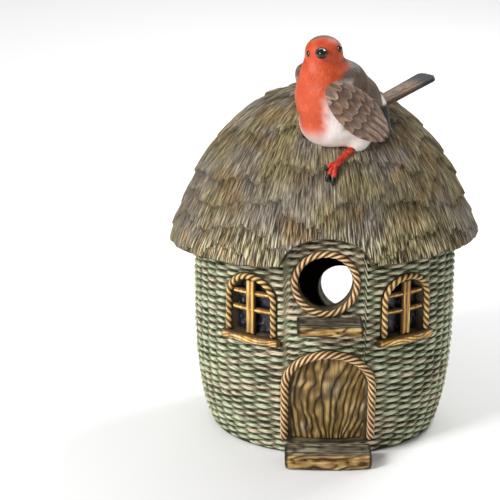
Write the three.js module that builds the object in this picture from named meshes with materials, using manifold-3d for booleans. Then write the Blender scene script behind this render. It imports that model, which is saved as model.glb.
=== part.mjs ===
// Garden birdhouse in cast resin: a barrel-shaped wall woven like a basket, a domed thatch
// roof that lifts off, a round entrance with a perch, a door and two arched windows framed
// in rope, a clean-out port at the back with a swivel cover, and a robin on the roof.
// Millimetres, +Z up, origin at the centre of the base, front towards -Y.
import * as THREE from "three";
import { mergeVertices } from "three/addons/utils/BufferGeometryUtils.js";
import Module from "manifold-3d";

const wasm = await Module();
wasm.setup();

// ---------------------------------------------------------------- driving dimensions
const GAP = 0.3; // between pieces that touch
const WALL_HEIGHT = 126;
const WALL_RADIUS = 81.6; // at the fullest height and above it
const FOOT_RADIUS = 71.4; // at the ground
const FULLEST_HEIGHT = 90;
const WALL_THICKNESS = 9;
const TONGUE = { halfWidth: 24.5, top: 141 }; // raised part of the wall over the entrance
const FLOOR = { radius: 66, thickness: 4, lipRadius: 61, lipTop: 8 };

const ROOF_TOP = 217;
const EAVE_RADIUS = 95.5;
const EAVE_BOTTOM = 121;
const ROOF_SEAT_INNER = 76; // the roof's ledge on top of the wall reaches in to here
const ROOF_SLEEVE = 84; // inside radius of the eave round the wall

const ENTRANCE = { turn: -1.65, z: 112.5, radius: 16, ringRadius: 18.3, rope: 4.3 };
const PERCH = { width: 38.8, front: 101.4, top: 91.6, thickness: 6.2 };
const DOOR = { width: 47.5, bottom: 10.6, top: 66, rise: 20.5, pocket: 5.5, thickness: 3 };
const DOOR_ROPE = { width: 52.6, bottom: 10.6, top: 68.5, rise: 21.5, rope: 4.6 };
const STEP = { width: 52, front: 97, height: 10, bow: 2.5 };

const WINDOW_TURN = 35.2; // degrees round from the front, to each side
const WINDOW = { width: 28.4, bottom: 76.4, top: 111, rise: 13, pocket: 7 };
const WINDOW_ROPE = { width: 32.4, bottom: 76.6, top: 112.8, rise: 14, rope: 3.8 };
const SILL = { width: 41.5, top: 76.2, thickness: 4.4, proud: 4.2 };
const MULLION_WIDTH = 5.2;
const BAR = { heights: { lower: 91.6, upper: 101.9 }, thickness: 2.3 };

const PORT_TURN = 168; // degrees round from the front
const PORT = { z: 62.6, radius: 16, face: 84.2, collarRadius: 21 };
const COVER = { radius: 19, thickness: 2.6, arm: 26, lugRadius: 6, knobRadius: 4, knobHeight: 5 };
const SCREW = { shank: 1.6, head: 3.6, headHeight: 2.2, depth: 7 };

const ROBIN_AT = [5, -53, 214.5]; // centre of its trunk
const ROBIN_TURN = -140.7; // degrees from +X to the way its body points
const HEAD_AT = [13.5, 1.8, 33]; // centre of its head, in its own frame
const HEAD_TURN = 50.7; // the head looks this far to the left of the body
const ROBIN_PIN = { radius: 2.2, bottom: 184, top: 207 };
const LEG_RADIUS = 1.9;

const AROUND = 48; // facets round the wall and the roof

// ---------------------------------------------------------------- materials
const paint = (color, roughness = 0.75, metalness = 0) =>
  new THREE.MeshStandardMaterial({ color, roughness, metalness });
const wicker = paint(0xa0a284, 0.8);
const thatch = paint(0x6e6350, 0.9);
const rope = paint(0xb98a4e, 0.7);
const timber = paint(0x86703f, 0.7);
const frameWood = paint(0xb07f38, 0.65);
const pane = paint(0x1b1c22, 0.25);
const resin = paint(0x8c8670, 0.8);
const steel = paint(0x9a9a96, 0.35, 0.9);
const breast = paint(0xd8492a, 0.6);
const plumage = paint(0x6f5847, 0.7);
const gloss = paint(0x0c0c0e, 0.1);
const legPaint = paint(0xb8391c, 0.45);

// ---------------------------------------------------------------- solids and placing
// A closed geometry as a solid that can be joined and cut.
function solid(geometry) {
  const bare = geometry.clone();
  bare.deleteAttribute("normal");
  bare.deleteAttribute("uv");
  const merged = mergeVertices(bare, 1e-3);
  return new wasm.Manifold(
    new wasm.Mesh({
      numProp: 3,
      vertProperties: merged.attributes.position.array,
      triVerts: new Uint32Array(merged.index.array),
    }),
  );
}

function geometryOf(body) {
  const mesh = body.getMesh();
  const geometry = new THREE.BufferGeometry();
  geometry.setAttribute(
    "position",
    new THREE.BufferAttribute(new Float32Array(mesh.vertProperties), 3),
  );
  geometry.setIndex(new THREE.BufferAttribute(new Uint32Array(mesh.triVerts), 1));
  const faceted = geometry.toNonIndexed();
  faceted.computeVertexNormals();
  return faceted;
}

function addPart(group, name, shape, material) {
  const geometry = shape.isBufferGeometry ? shape : geometryOf(shape);
  const mesh = new THREE.Mesh(geometry, material);
  mesh.name = name;
  group.add(mesh);
  return mesh;
}

const radians = THREE.MathUtils.degToRad;

// A profile of [radius, height] points turned round the vertical axis.
function turned(profile, segments = AROUND) {
  const points = profile.map(([r, z]) => new THREE.Vector2(r, z));
  return new THREE.LatheGeometry(points, segments).rotateX(Math.PI / 2);
}

// A flat outline of (across, height) pushed out from the axis, from one distance to another,
// then turned round the axis from the front.
function outward(shape, from, to, turn = 0) {
  return new THREE.ExtrudeGeometry(shape, {
    depth: to - from,
    bevelEnabled: false,
    curveSegments: 14,
  })
    .translate(0, 0, from)
    .rotateX(Math.PI / 2)
    .rotateZ(radians(turn));
}

// A rod along a curve, with a round section of an even number of sides.
function rod(curve, radius, steps, sides = 8) {
  const section = new THREE.Shape();
  section.absarc(0, 0, radius, 0, 2 * Math.PI);
  return new THREE.ExtrudeGeometry(section, {
    steps,
    extrudePath: curve,
    curveSegments: sides / 2,
    bevelEnabled: false,
  });
}

// ---------------------------------------------------------------- the wall's form
// The wall swells by a cubic from its foot to the fullest height, then stands straight.
function wallRadius(z) {
  const below = Math.max(0, (FULLEST_HEIGHT - z) / FULLEST_HEIGHT);
  return WALL_RADIUS - (WALL_RADIUS - FOOT_RADIUS) * below ** 3;
}

const WALL_STATIONS = [12, 26, 44, 64, 90];

// Everything inside the wall's outer face moved out by an offset.
function barrel(offset, segments = AROUND) {
  const side = [0, ...WALL_STATIONS, 150].map((z) => [wallRadius(z) + offset, z]);
  return solid(turned([[0, -5], [side[0][0] - 0.5, -5], ...side, [0, 150]], segments));
}

// The part of a pushed-out outline that lies between two offsets from the wall's face.
function wallPatch(shape, inner, outer, turn = 0) {
  return solid(outward(shape, 50, 110, turn))
    .intersect(barrel(outer))
    .subtract(barrel(inner));
}

// Straight sides with a half ellipse on top.
function archShape({ width, bottom, top, rise }, grow = 0) {
  const half = width / 2 + grow;
  const spring = top - rise;
  const shape = new THREE.Shape();
  shape.moveTo(-half, bottom - grow);
  shape.lineTo(half, bottom - grow);
  shape.lineTo(half, spring);
  shape.absellipse(0, spring, half, rise + grow, 0, Math.PI);
  shape.closePath();
  return shape;
}

// The point on the wall at a distance across from a turn, at a height, stood off the face.
function onWall(across, z, standOff, turn) {
  const out = Math.sqrt((wallRadius(z) + standOff) ** 2 - across ** 2);
  return new THREE.Vector3(across, -out, z).applyAxisAngle(
    new THREE.Vector3(0, 0, 1),
    radians(turn),
  );
}

// A rope moulding laid over an arch on the wall.
function ropeArch({ width, bottom, top, rise, rope: thick }, turn, grow = 0) {
  const half = width / 2;
  const spring = top - rise;
  const route = [];
  const sideSteps = 4;
  const archSteps = 12;
  for (let i = 0; i < sideSteps; i++) {
    route.push([-half, bottom + ((spring - bottom) * i) / sideSteps]);
  }
  for (let i = 0; i <= archSteps; i++) {
    const angle = Math.PI * (1 - i / archSteps);
    route.push([half * Math.cos(angle), spring + rise * Math.sin(angle)]);
  }
  for (let i = sideSteps - 1; i >= 0; i--) {
    route.push([half, bottom + ((spring - bottom) * i) / sideSteps]);
  }
  const standOff = thick * 0.25;
  const points = route.map(([x, z]) => onWall(x, z, standOff, turn));
  return solid(rod(new THREE.CatmullRomCurve3(points), thick / 2 + grow, 28));
}

// A ring of rope round the entrance, bent to the wall.
function ropeRing(grow = 0) {
  const torus = new THREE.TorusGeometry(
    ENTRANCE.ringRadius,
    ENTRANCE.rope / 2 + grow,
    8,
    32,
  );
  const place = torus.attributes.position;
  for (let i = 0; i < place.count; i++) {
    const across = place.getX(i);
    const z = ENTRANCE.z + place.getY(i);
    const point = onWall(across, z, ENTRANCE.rope * 0.25 + place.getZ(i), ENTRANCE.turn);
    place.setXYZ(i, point.x, point.y, point.z);
  }
  return solid(torus);
}

// ---------------------------------------------------------------- the roof's form
const roofCurve = new THREE.SplineCurve(
  [
    [0, ROOF_TOP],
    [20, 214.5],
    [38, 208],
    [52, 198],
    [66, 183.5],
    [79.4, 164],
    [90.5, 139],
    [EAVE_RADIUS, EAVE_BOTTOM + 6],
  ].map(([r, z]) => new THREE.Vector2(r, z)),
);

const roofOutline = roofCurve.getPoints(12).map((p) => [Math.max(0, p.x), p.y]);

// Height of the roof's outer face at a distance from the axis.
function roofHeight(radius) {
  const i = roofOutline.findIndex(([r]) => r >= radius);
  const [r0, z0] = roofOutline[i - 1];
  const [r1, z1] = roofOutline[i];
  return z0 + ((z1 - z0) * (radius - r0)) / (r1 - r0);
}

const house = new THREE.Group();
const roof = new THREE.Group();
const robin = new THREE.Group();
const birdhouse = new THREE.Group();
birdhouse.name = "birdhouse";
birdhouse.add(house, roof);
roof.add(robin);

// ---------------------------------------------------------------- wall, floor and rope
const tongueShape = archShape({
  width: 2 * TONGUE.halfWidth,
  bottom: WALL_HEIGHT - 6,
  top: TONGUE.top,
  rise: TONGUE.top - WALL_HEIGHT,
});
const innerSide = [FLOOR.lipTop + 5, ...WALL_STATIONS.slice(1), TONGUE.top + 1];
const wallProfile = [
  [FLOOR.radius + GAP, 0],
  [FOOT_RADIUS - 2.5, 0],
  [wallRadius(2) - 0.4, 2],
  ...[...WALL_STATIONS, TONGUE.top + 1].map((z) => [wallRadius(z), z]),
  ...innerSide.reverse().map((z) => [wallRadius(z) - WALL_THICKNESS, z]),
  [FLOOR.lipRadius, FLOOR.lipTop],
  [FLOOR.lipRadius, FLOOR.thickness + GAP],
  [FLOOR.radius + GAP, FLOOR.thickness + GAP],
  [FLOOR.radius + GAP, 0],
];
const aboveRim = solid(
  turned([
    [0, WALL_HEIGHT],
    [120, WALL_HEIGHT],
    [120, 160],
    [0, 160],
  ]),
).subtract(solid(outward(tongueShape, 50, 100, ENTRANCE.turn)));

const entranceShape = new THREE.Shape();
entranceShape.absarc(0, ENTRANCE.z, ENTRANCE.radius, 0, 2 * Math.PI);
const portShape = new THREE.Shape();
portShape.absarc(0, PORT.z, PORT.radius, 0, 2 * Math.PI);
const pivotHole = new THREE.Shape();
pivotHole.absarc(COVER.arm, PORT.z, SCREW.shank + GAP, 0, 2 * Math.PI);

const windowTurns = { left: -WINDOW_TURN, right: WINDOW_TURN };
let wall = solid(turned(wallProfile))
  .subtract(aboveRim)
  .subtract(solid(outward(entranceShape, 50, 110, ENTRANCE.turn)))
  .subtract(solid(outward(portShape, 50, 110, PORT_TURN)))
  .subtract(solid(outward(pivotHole, PORT.face - SCREW.depth - GAP, 110, PORT_TURN)))
  .subtract(wallPatch(archShape(DOOR, GAP), -DOOR.pocket, 5))
  .subtract(ropeArch(DOOR_ROPE, 0, GAP))
  .subtract(ropeRing(GAP));
for (const turn of Object.values(windowTurns)) {
  wall = wall
    .subtract(wallPatch(archShape(WINDOW, GAP), -WINDOW.pocket, 5, turn))
    .subtract(ropeArch(WINDOW_ROPE, turn, GAP));
}
addPart(house, "wicker_wall", wall, wicker);

const plate = new THREE.CylinderGeometry(FLOOR.radius, FLOOR.radius, FLOOR.thickness, AROUND)
  .rotateX(Math.PI / 2)
  .translate(0, 0, FLOOR.thickness / 2);
addPart(house, "floor_plate", solid(plate), resin);

addPart(house, "entrance_rope_ring", ropeRing(), rope);

// ---------------------------------------------------------------- door, step and perch
const leafBack = GAP - DOOR.pocket;
addPart(
  house,
  "door_leaf",
  wallPatch(archShape(DOOR), leafBack, leafBack + DOOR.thickness),
  timber,
);
addPart(house, "door_rope_arch", ropeArch(DOOR_ROPE, 0).subtract(barrel(-3)), rope);

// A plank in plan, with small corner curves and a front edge that bows out.
function plankShape(width, front, back, bow) {
  const half = width / 2;
  const corner = 1.6;
  const shape = new THREE.Shape();
  shape.moveTo(-half, -back);
  shape.lineTo(-half, -(front - bow - corner));
  shape.quadraticCurveTo(-half, -(front - bow), -half + corner, -(front - bow));
  shape.quadraticCurveTo(0, -(front + bow), half - corner, -(front - bow));
  shape.quadraticCurveTo(half, -(front - bow), half, -(front - bow - corner));
  shape.lineTo(half, -back);
  shape.closePath();
  return shape;
}

function plank(width, front, bottom, thickness, bow) {
  const geometry = new THREE.ExtrudeGeometry(plankShape(width, front, 60, bow), {
    depth: thickness,
    bevelEnabled: false,
    curveSegments: 8,
  }).translate(0, 0, bottom);
  return solid(geometry).subtract(barrel(GAP));
}

addPart(
  house,
  "perch_ledge",
  plank(PERCH.width, PERCH.front, PERCH.top - PERCH.thickness, PERCH.thickness, 0.8),
  timber,
);
addPart(house, "door_step", plank(STEP.width, STEP.front, 0, STEP.height, STEP.bow), timber);

// ---------------------------------------------------------------- windows
// From the back of the pocket outwards: the pane, the cross bars, then the mullion.
const paneBack = GAP - WINDOW.pocket;
const barBack = paneBack + 1.6 + GAP;
const mullionBack = barBack + 2 + GAP;

function acrossShape(width, bottom, top) {
  const shape = new THREE.Shape();
  shape.moveTo(-width / 2, bottom);
  shape.lineTo(width / 2, bottom);
  shape.lineTo(width / 2, top);
  shape.lineTo(-width / 2, top);
  shape.closePath();
  return shape;
}

for (const [side, turn] of Object.entries(windowTurns)) {
  const name = (piece) => side + "_window_" + piece;
  addPart(
    house,
    name("pane"),
    wallPatch(archShape(WINDOW), paneBack, paneBack + 1.6, turn),
    pane,
  );
  for (const [which, z] of Object.entries(BAR.heights)) {
    const strip = acrossShape(WINDOW.width, z - BAR.thickness / 2, z + BAR.thickness / 2);
    const bar = wallPatch(strip, barBack, barBack + 2, turn).intersect(
      solid(outward(archShape(WINDOW), 50, 110, turn)),
    );
    addPart(house, name(which + "_bar"), bar, frameWood);
  }
  const upright = acrossShape(MULLION_WIDTH, WINDOW.bottom, WINDOW.top - 0.6);
  addPart(
    house,
    name("mullion"),
    wallPatch(upright, mullionBack, 0.2, turn).subtract(ropeArch(WINDOW_ROPE, turn, GAP)),
    frameWood,
  );
  addPart(house, name("rope_arch"), ropeArch(WINDOW_ROPE, turn), rope);
  const board = acrossShape(SILL.width, SILL.top - SILL.thickness, SILL.top);
  addPart(house, name("sill"), wallPatch(board, GAP, SILL.proud, turn), frameWood);
}

// ---------------------------------------------------------------- clean-out port
// A flat collar gives the cover a level seat on the round wall. The cover hangs from one
// screw beside the port, and turns up through a quarter turn to close it.
const disc = (x, z, radius) => {
  const shape = new THREE.Shape();
  shape.absarc(x, z, radius, 0, 2 * Math.PI);
  return shape;
};
const bridge = (halfHeight, from, to) => {
  const shape = new THREE.Shape();
  shape.moveTo(from, PORT.z - halfHeight);
  shape.lineTo(to, PORT.z - halfHeight);
  shape.lineTo(to, PORT.z + halfHeight);
  shape.lineTo(from, PORT.z + halfHeight);
  shape.closePath();
  return shape;
};
const seat = PORT.face;
const collarOf = (shape) => solid(outward(shape, 60, seat, PORT_TURN));
const collar = collarOf(disc(0, PORT.z, PORT.collarRadius))
  .add(collarOf(disc(COVER.arm, PORT.z, COVER.lugRadius)))
  .add(collarOf(bridge(COVER.lugRadius, 10, COVER.arm)))
  .subtract(collarOf(portShape).add(solid(outward(portShape, 50, 110, PORT_TURN))))
  .subtract(solid(outward(pivotHole, 50, 110, PORT_TURN)))
  .subtract(barrel(GAP));
addPart(house, "rear_port_collar", collar, resin);

// Built closed over the port, then turned down a quarter turn about the screw.
const coverFace = seat + GAP;
const coverOf = (shape, to = coverFace + COVER.thickness) => solid(outward(shape, coverFace, to));
const closedCover = coverOf(disc(0, PORT.z, COVER.radius))
  .add(coverOf(disc(COVER.arm, PORT.z, COVER.lugRadius)))
  .add(coverOf(bridge(COVER.lugRadius, 0, COVER.arm)))
  .add(
    coverOf(
      disc(0, PORT.z, COVER.knobRadius),
      coverFace + COVER.thickness + COVER.knobHeight,
    ),
  )
  .subtract(solid(outward(disc(COVER.arm, PORT.z, SCREW.shank + GAP), 50, 110)));
const coverGeometry = geometryOf(closedCover)
  .translate(-COVER.arm, 0, -PORT.z)
  .rotateY(-Math.PI / 2)
  .translate(COVER.arm, 0, PORT.z)
  .rotateZ(radians(PORT_TURN));
addPart(house, "rear_cover", coverGeometry, resin);

const headSeat = coverFace + COVER.thickness + GAP;
const screwProfile = [
  [0, seat - SCREW.depth],
  [SCREW.shank, seat - SCREW.depth],
  [SCREW.shank, headSeat],
  [SCREW.head, headSeat],
  [SCREW.head, headSeat + SCREW.headHeight * 0.4],
  [SCREW.head * 0.7, headSeat + SCREW.headHeight * 0.85],
  [0, headSeat + SCREW.headHeight],
];
const slot = new THREE.BoxGeometry(0.9, 2 * SCREW.head + 1, 1.6).translate(
  0,
  0,
  headSeat + SCREW.headHeight,
);
const screw = solid(turned(screwProfile, 24)).subtract(solid(slot));
const screwGeometry = geometryOf(screw)
  .rotateX(Math.PI / 2)
  .translate(COVER.arm, 0, PORT.z)
  .rotateZ(radians(PORT_TURN));
addPart(house, "cover_screw", screwGeometry, steel);

// ---------------------------------------------------------------- thatch roof
// A thick eave sleeves over the wall, and a ledge inside it sits on the wall's rim.
const roofInside = [
  [ROOF_SEAT_INNER, WALL_HEIGHT + GAP],
  [ROOF_SEAT_INNER, 146],
  [70, 162],
  [59, 178],
  [44, 192],
  [25, 203],
  [0, 208],
];
const roofProfile = [
  ...roofOutline,
  [EAVE_RADIUS - 0.8, EAVE_BOTTOM + 2],
  [EAVE_RADIUS - 4, EAVE_BOTTOM],
  [ROOF_SLEEVE, EAVE_BOTTOM + 1],
  [ROOF_SLEEVE, WALL_HEIGHT + GAP],
  ...roofInside,
].reverse();
const notchShape = archShape({
  width: 2 * TONGUE.halfWidth + 2,
  bottom: EAVE_BOTTOM - 10,
  top: TONGUE.top + 1.2,
  rise: TONGUE.top - WALL_HEIGHT + 1,
});
const pinHole = new THREE.CylinderGeometry(
  ROBIN_PIN.radius + GAP,
  ROBIN_PIN.radius + GAP,
  60,
  16,
)
  .rotateX(Math.PI / 2)
  .translate(ROBIN_AT[0], ROBIN_AT[1], ROBIN_PIN.top - 30);
const thatchRoof = solid(turned(roofProfile))
  .subtract(solid(outward(notchShape, 60, 110, ENTRANCE.turn)))
  .subtract(solid(pinHole));
addPart(roof, "thatch_roof", thatchRoof, thatch);

// ---------------------------------------------------------------- robin
// In its own frame the robin faces +X, with its left side towards +Y.
robin.position.set(...ROBIN_AT);
robin.rotation.z = radians(ROBIN_TURN);
robin.updateMatrixWorld(true);

// An egg: a sphere stretched to three half sizes, pitched nose up, then moved into place.
function egg(at, halves, pitch = 0, segments = 15) {
  return solid(
    new THREE.SphereGeometry(1, segments, segments * 0.6)
      .rotateX(Math.PI / 2)
      .scale(...halves)
      .rotateY(radians(-pitch))
      .translate(...at),
  );
}

function bodyForm(grow) {
  const sized = (halves) => halves.map((half) => half + grow);
  return egg([0, 0, 0], sized([27, 20, 21]), 35, 20)
    .add(egg([9, 0, 8], sized([18, 18.5, 20]), 20))
    .add(egg([12.5, 0.5, 21], sized([12.5, 12.5, 14]), 80))
    .add(egg(HEAD_AT, sized([11, 11, 9.6])))
    .add(egg([-10, 3, 3], sized([18, 14, 14])))
    .add(egg([4, -2, -11], sized([18.5, 18, 14])))
    .add(egg([-21, 0, -4], sized([15, 11, 10]), 10))
    .add(egg([-7, 11, -17.5], sized([8, 6.5, 9]), 30, 10))
    .add(egg([-3, -10, -13], sized([9, 6.5, 8]), 30, 10));
}

// The roof's outer form grown by the gap, in the robin's frame, to seat its pieces on.
const roofSeat = solid(
  turned([
    ...roofOutline.map(([r, z]) => [r === 0 ? 0 : r + GAP, z + GAP]),
    [0, EAVE_BOTTOM],
  ].reverse()).applyMatrix4(robin.matrixWorld.clone().invert()),
);

// A leg from the thigh to the roof, with three toes forward and one back.
function legForm(thigh, footAt, grow) {
  const radius = LEG_RADIUS + grow;
  const roofPoint = (x, y) =>
    robin.worldToLocal(new THREE.Vector3(x, y, roofHeight(Math.hypot(x, y)) + 2.1));
  const ankle = roofPoint(...footAt);
  const bar = (a, b, r) => solid(rod(new THREE.LineCurve3(a, b), r, 1, 6));
  let leg = bar(new THREE.Vector3(...thigh), ankle, radius).add(
    solid(new THREE.SphereGeometry(radius * 1.25, 10, 6).translate(...ankle.toArray())),
  );
  for (const [spread, length] of [[-30, 6], [0, 7], [30, 6], [180, 5]]) {
    const way = radians(ROBIN_TURN + spread);
    const tip = roofPoint(
      footAt[0] + length * Math.cos(way),
      footAt[1] + length * Math.sin(way),
    );
    leg = leg.add(bar(ankle, tip, radius * 0.85));
  }
  return leg;
}

const legs = {
  left: { thigh: [-6, 11, -22], foot: [3.2, -70] },
  right: { thigh: [0, -11, -16], foot: [-12.5, -52] },
};
const EYE = { radius: 1.9, forward: 5, side: 8.8, up: 0.9, tilt: 1.5 };
// A solid made looking along +X from the head's centre, turned with the head into place.
const onHead = (geometry) => solid(geometry.rotateZ(radians(HEAD_TURN)).translate(...HEAD_AT));
const eye = (side, grow) =>
  onHead(
    new THREE.SphereGeometry(EYE.radius + grow, 12, 8).translate(
      EYE.forward,
      side * EYE.side,
      EYE.up + side * EYE.tilt,
    ),
  );
const pinSolid = (grow) =>
  solid(
    new THREE.CylinderGeometry(
      ROBIN_PIN.radius + grow,
      ROBIN_PIN.radius + grow,
      ROBIN_PIN.top - ROBIN_PIN.bottom + 2 * grow,
      16,
    )
      .rotateX(Math.PI / 2)
      .translate(0, 0, (ROBIN_PIN.top + ROBIN_PIN.bottom) / 2 - ROBIN_AT[2]),
  );

const robinBody = bodyForm(0)
  .subtract(roofSeat)
  .subtract(pinSolid(GAP))
  .subtract(eye(1, GAP))
  .subtract(eye(-1, GAP))
  .subtract(legForm(legs.left.thigh, legs.left.foot, GAP))
  .subtract(legForm(legs.right.thigh, legs.right.foot, GAP));
addPart(robin, "robin_body", robinBody, breast);
addPart(robin, "robin_left_eye", eye(1, 0), gloss);
addPart(robin, "robin_right_eye", eye(-1, 0), gloss);

const beakForm = onHead(
  new THREE.ConeGeometry(3.2, 8, 12).rotateZ(-Math.PI / 2).translate(13, 0, 0.9),
);
addPart(robin, "robin_beak", beakForm.subtract(bodyForm(GAP)), gloss);

// Each folded wing is a flattened egg laid on the flank, and the tail a thin flat wedge.
for (const [side, sign] of [["left", 1], ["right", -1]]) {
  const wing = egg([-0.5, 17 * sign, -3], [31, 6, 11.5], 39.5, 15)
    .subtract(bodyForm(GAP))
    .subtract(legForm(legs[side].thigh, legs[side].foot, GAP))
    .subtract(roofSeat);
  const largest = wing.decompose().sort((a, b) => b.volume() - a.volume())[0];
  addPart(robin, "robin_" + side + "_wing", largest, plumage);
}
const tailShape = new THREE.Shape();
tailShape.moveTo(0, -5.5);
tailShape.lineTo(-45, -8);
tailShape.quadraticCurveTo(-49, 0, -45, 8);
tailShape.lineTo(0, 5.5);
tailShape.closePath();
const tail = new THREE.ExtrudeGeometry(tailShape, {
  depth: 3,
  bevelEnabled: false,
  curveSegments: 6,
})
  .rotateY(radians(16))
  .translate(-29, 0, -7);
addPart(
  robin,
  "robin_tail",
  solid(tail).subtract(bodyForm(GAP)).subtract(roofSeat),
  plumage,
);

for (const side of ["left", "right"]) {
  addPart(
    robin,
    "robin_" + side + "_leg",
    legForm(legs[side].thigh, legs[side].foot, 0).subtract(roofSeat),
    legPaint,
  );
}
addPart(robin, "robin_fixing_pin", pinSolid(0), steel);

export default birdhouse;
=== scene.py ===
import math

import bmesh
import bpy
import numpy as np
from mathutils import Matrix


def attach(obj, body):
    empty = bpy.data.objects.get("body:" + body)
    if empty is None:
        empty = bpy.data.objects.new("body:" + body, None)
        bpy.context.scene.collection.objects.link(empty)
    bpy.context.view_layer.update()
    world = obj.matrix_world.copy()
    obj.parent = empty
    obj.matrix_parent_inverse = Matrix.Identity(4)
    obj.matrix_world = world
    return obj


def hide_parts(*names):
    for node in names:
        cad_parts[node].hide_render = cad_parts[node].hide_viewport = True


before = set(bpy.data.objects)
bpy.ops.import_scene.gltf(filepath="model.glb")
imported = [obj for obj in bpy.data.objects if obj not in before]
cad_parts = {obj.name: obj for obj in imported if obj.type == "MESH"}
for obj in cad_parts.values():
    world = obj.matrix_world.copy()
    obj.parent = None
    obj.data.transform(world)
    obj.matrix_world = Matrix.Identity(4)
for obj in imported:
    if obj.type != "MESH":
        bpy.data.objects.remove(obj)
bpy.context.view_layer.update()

# ------------------------------------------------------------------ studio
# A pale floor and soft lamps, with the camera standing a little above the house and
# to the left of its middle.
CAMERA_AT = (-0.0470, -1.0872, 0.4217)
CAMERA_TILT = 74.0
LENS, SENSOR = 128.6, 36.0
LAMPS = [  # place, size, power, aimed at
    ((-1.05, -0.95, 0.90), 0.5, 24.0, (0.0, 0.0, 0.12)),
    ((-0.20, -1.30, 0.50), 1.2, 0.8, (0.0, 0.0, 0.10)),
    ((0.0, 1.8, 1.5), 1.6, 15.0, (0.0, 1.8, 0.0)),
    ((0.70, 0.70, 1.15), 0.45, 11.0, (0.0, 0.0, 0.10)),
]
SKY = (1.0, 1.0, 1.0)
SKY_STRENGTH = 0.37
FLOOR_SIZE, FLOOR_DROP, FLOOR_WHITE = 16.0, 0.0004, 0.94


def linear(red, green, blue):
    """Paint-chart values from 0 to 255 to linear light: the screen curve undone."""
    scale = np.array([red, green, blue]) / 255.0
    low = scale / 12.92
    high = ((scale + 0.055) / 1.055) ** 2.4
    return tuple(float(v) for v in np.where(scale <= 0.04045, low, high))


def aim(thing, place, target):
    """Stands a lamp or camera at place, turned so that its -Z axis points at target."""
    way = np.array(target) - np.array(place)
    flat = math.hypot(way[0], way[1])
    thing.location = place
    thing.rotation_euler = (math.pi / 2 + math.atan2(way[2], flat), 0.0,
                            math.atan2(way[1], way[0]) - math.pi / 2)


camera = bpy.data.objects.new("camera", bpy.data.cameras.new("camera"))
bpy.context.scene.collection.objects.link(camera)
camera.location = CAMERA_AT
camera.rotation_euler = (math.radians(CAMERA_TILT), 0.0, 0.0)
camera.data.lens = LENS
camera.data.sensor_width = SENSOR
bpy.context.scene.camera = camera

for number, (place, size, power, target) in enumerate(LAMPS):
    light = bpy.data.lights.new(f"lamp_{number}", "AREA")
    light.energy = power
    light.size = size
    lamp = bpy.data.objects.new(f"lamp_{number}", light)
    bpy.context.scene.collection.objects.link(lamp)
    aim(lamp, place, target)

world = bpy.data.worlds.new("studio")
bpy.context.scene.world = world
world.use_nodes = True
world.node_tree.nodes["Background"].inputs["Color"].default_value = (*SKY, 1.0)
world.node_tree.nodes["Background"].inputs["Strength"].default_value = SKY_STRENGTH
bpy.context.scene.view_settings.view_transform = "Standard"

bpy.ops.mesh.primitive_plane_add(size=FLOOR_SIZE, location=(0.0, 0.0, -FLOOR_DROP))
floor = bpy.context.object
floor.name = "floor"
floor_paint = bpy.data.materials.new("floor_paint")
floor_paint.use_nodes = True
floor_shader = floor_paint.node_tree.nodes["Principled BSDF"]
floor_shader.inputs["Base Color"].default_value = (FLOOR_WHITE, FLOOR_WHITE, FLOOR_WHITE, 1.0)
floor_shader.inputs["Roughness"].default_value = 0.9
floor_shader.inputs["Specular IOR Level"].default_value = 0.1
floor.data.materials.append(floor_paint)

# ------------------------------------------------------------------ wicker wall
# One hollow resin casting. Forty-eight upright stakes stand round it, and thin weavers pass
# over one and under the next; the relief is washed dark and dry-brushed sage and cream.
MERGED_WITHIN = 2e-6
WALL_TOP = 0.126
WALL_RADIUS = 0.0816
FOOT_RADIUS = 0.0714
FULLEST = 0.090
WALL_THICK = 0.009
TONGUE_HALF, TONGUE_TOP = 0.0245, 0.141
STAKES = 48
WEAVER_PITCH = 0.0043
WEAVER_HALF = 0.00125
WEAVER_SWAY = 0.00110
WEAVER_CROWN = 0.0011
STAKE_HALF, STAKE_SUNK, STAKE_CROWN = 0.0026, 0.0011, 0.0010
RELIEF_SUNK, BARE_SUNK = 0.0014, 0.0009
DOOR_POCKET, WINDOW_POCKET = 0.0052, 0.0068
RING_BARE, PORT_BARE, BARE_EASE = 0.0215, 0.0225, 0.002
FOOT_EDGE, FOOT_ROUND = 0.0045, 0.0022
BASE_EDGE, INNER_FOOT = 0.0016, 0.013
OUTER_ROWS = 214
COLUMNS = STAKES * 8
FLOOR_SEAT = np.array([  # radius and height round the recess that holds the floor plate
    [0.0615, 0.0085], [0.0610, 0.0080], [0.0610, 0.0043], [0.0663, 0.0043], [0.0663, 0.0],
    [0.0695, 0.0], [0.0705, 0.0002]])
ENTRANCE_Z, ENTRANCE_RADIUS, ENTRANCE_TURN = 0.1125, 0.016, math.radians(-1.65)
PORT_Z, PORT_RADIUS, PORT_TURN = 0.0626, 0.016, math.radians(168.0)
DOOR = {"width": 0.0475, "bottom": 0.0106, "top": 0.066, "rise": 0.0205}
DOOR_ROPE = {"width": 0.0526, "bottom": 0.0106, "top": 0.0685, "rise": 0.0215}
WINDOW = {"width": 0.0284, "bottom": 0.0764, "top": 0.111, "rise": 0.013}
WINDOW_ROPE = {"width": 0.0324, "bottom": 0.0766, "top": 0.1128, "rise": 0.014}
WINDOW_TURNS = {"left": math.radians(-35.2), "right": math.radians(35.2)}


def wall_radius(z):
    """The wall's radius at a height: a cubic swell from the foot up to the fullest height."""
    below = np.clip((FULLEST - z) / FULLEST, 0.0, 1.0)
    return WALL_RADIUS - (WALL_RADIUS - FOOT_RADIUS) * below ** 3


def smooth(edge0, edge1, x):
    """Eases from 0 at edge0 to 1 at edge1 with the cubic 3t^2 - 2t^3."""
    t = np.clip((x - edge0) / (edge1 - edge0), 0.0, 1.0)
    return t * t * (3.0 - 2.0 * t)


def half_circle(x, least=0.0):
    """The height of a half circle of radius one at a place across it: sqrt(1 - x^2)."""
    return np.sqrt(np.clip(1.0 - x ** 2, least, 1.0))


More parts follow.
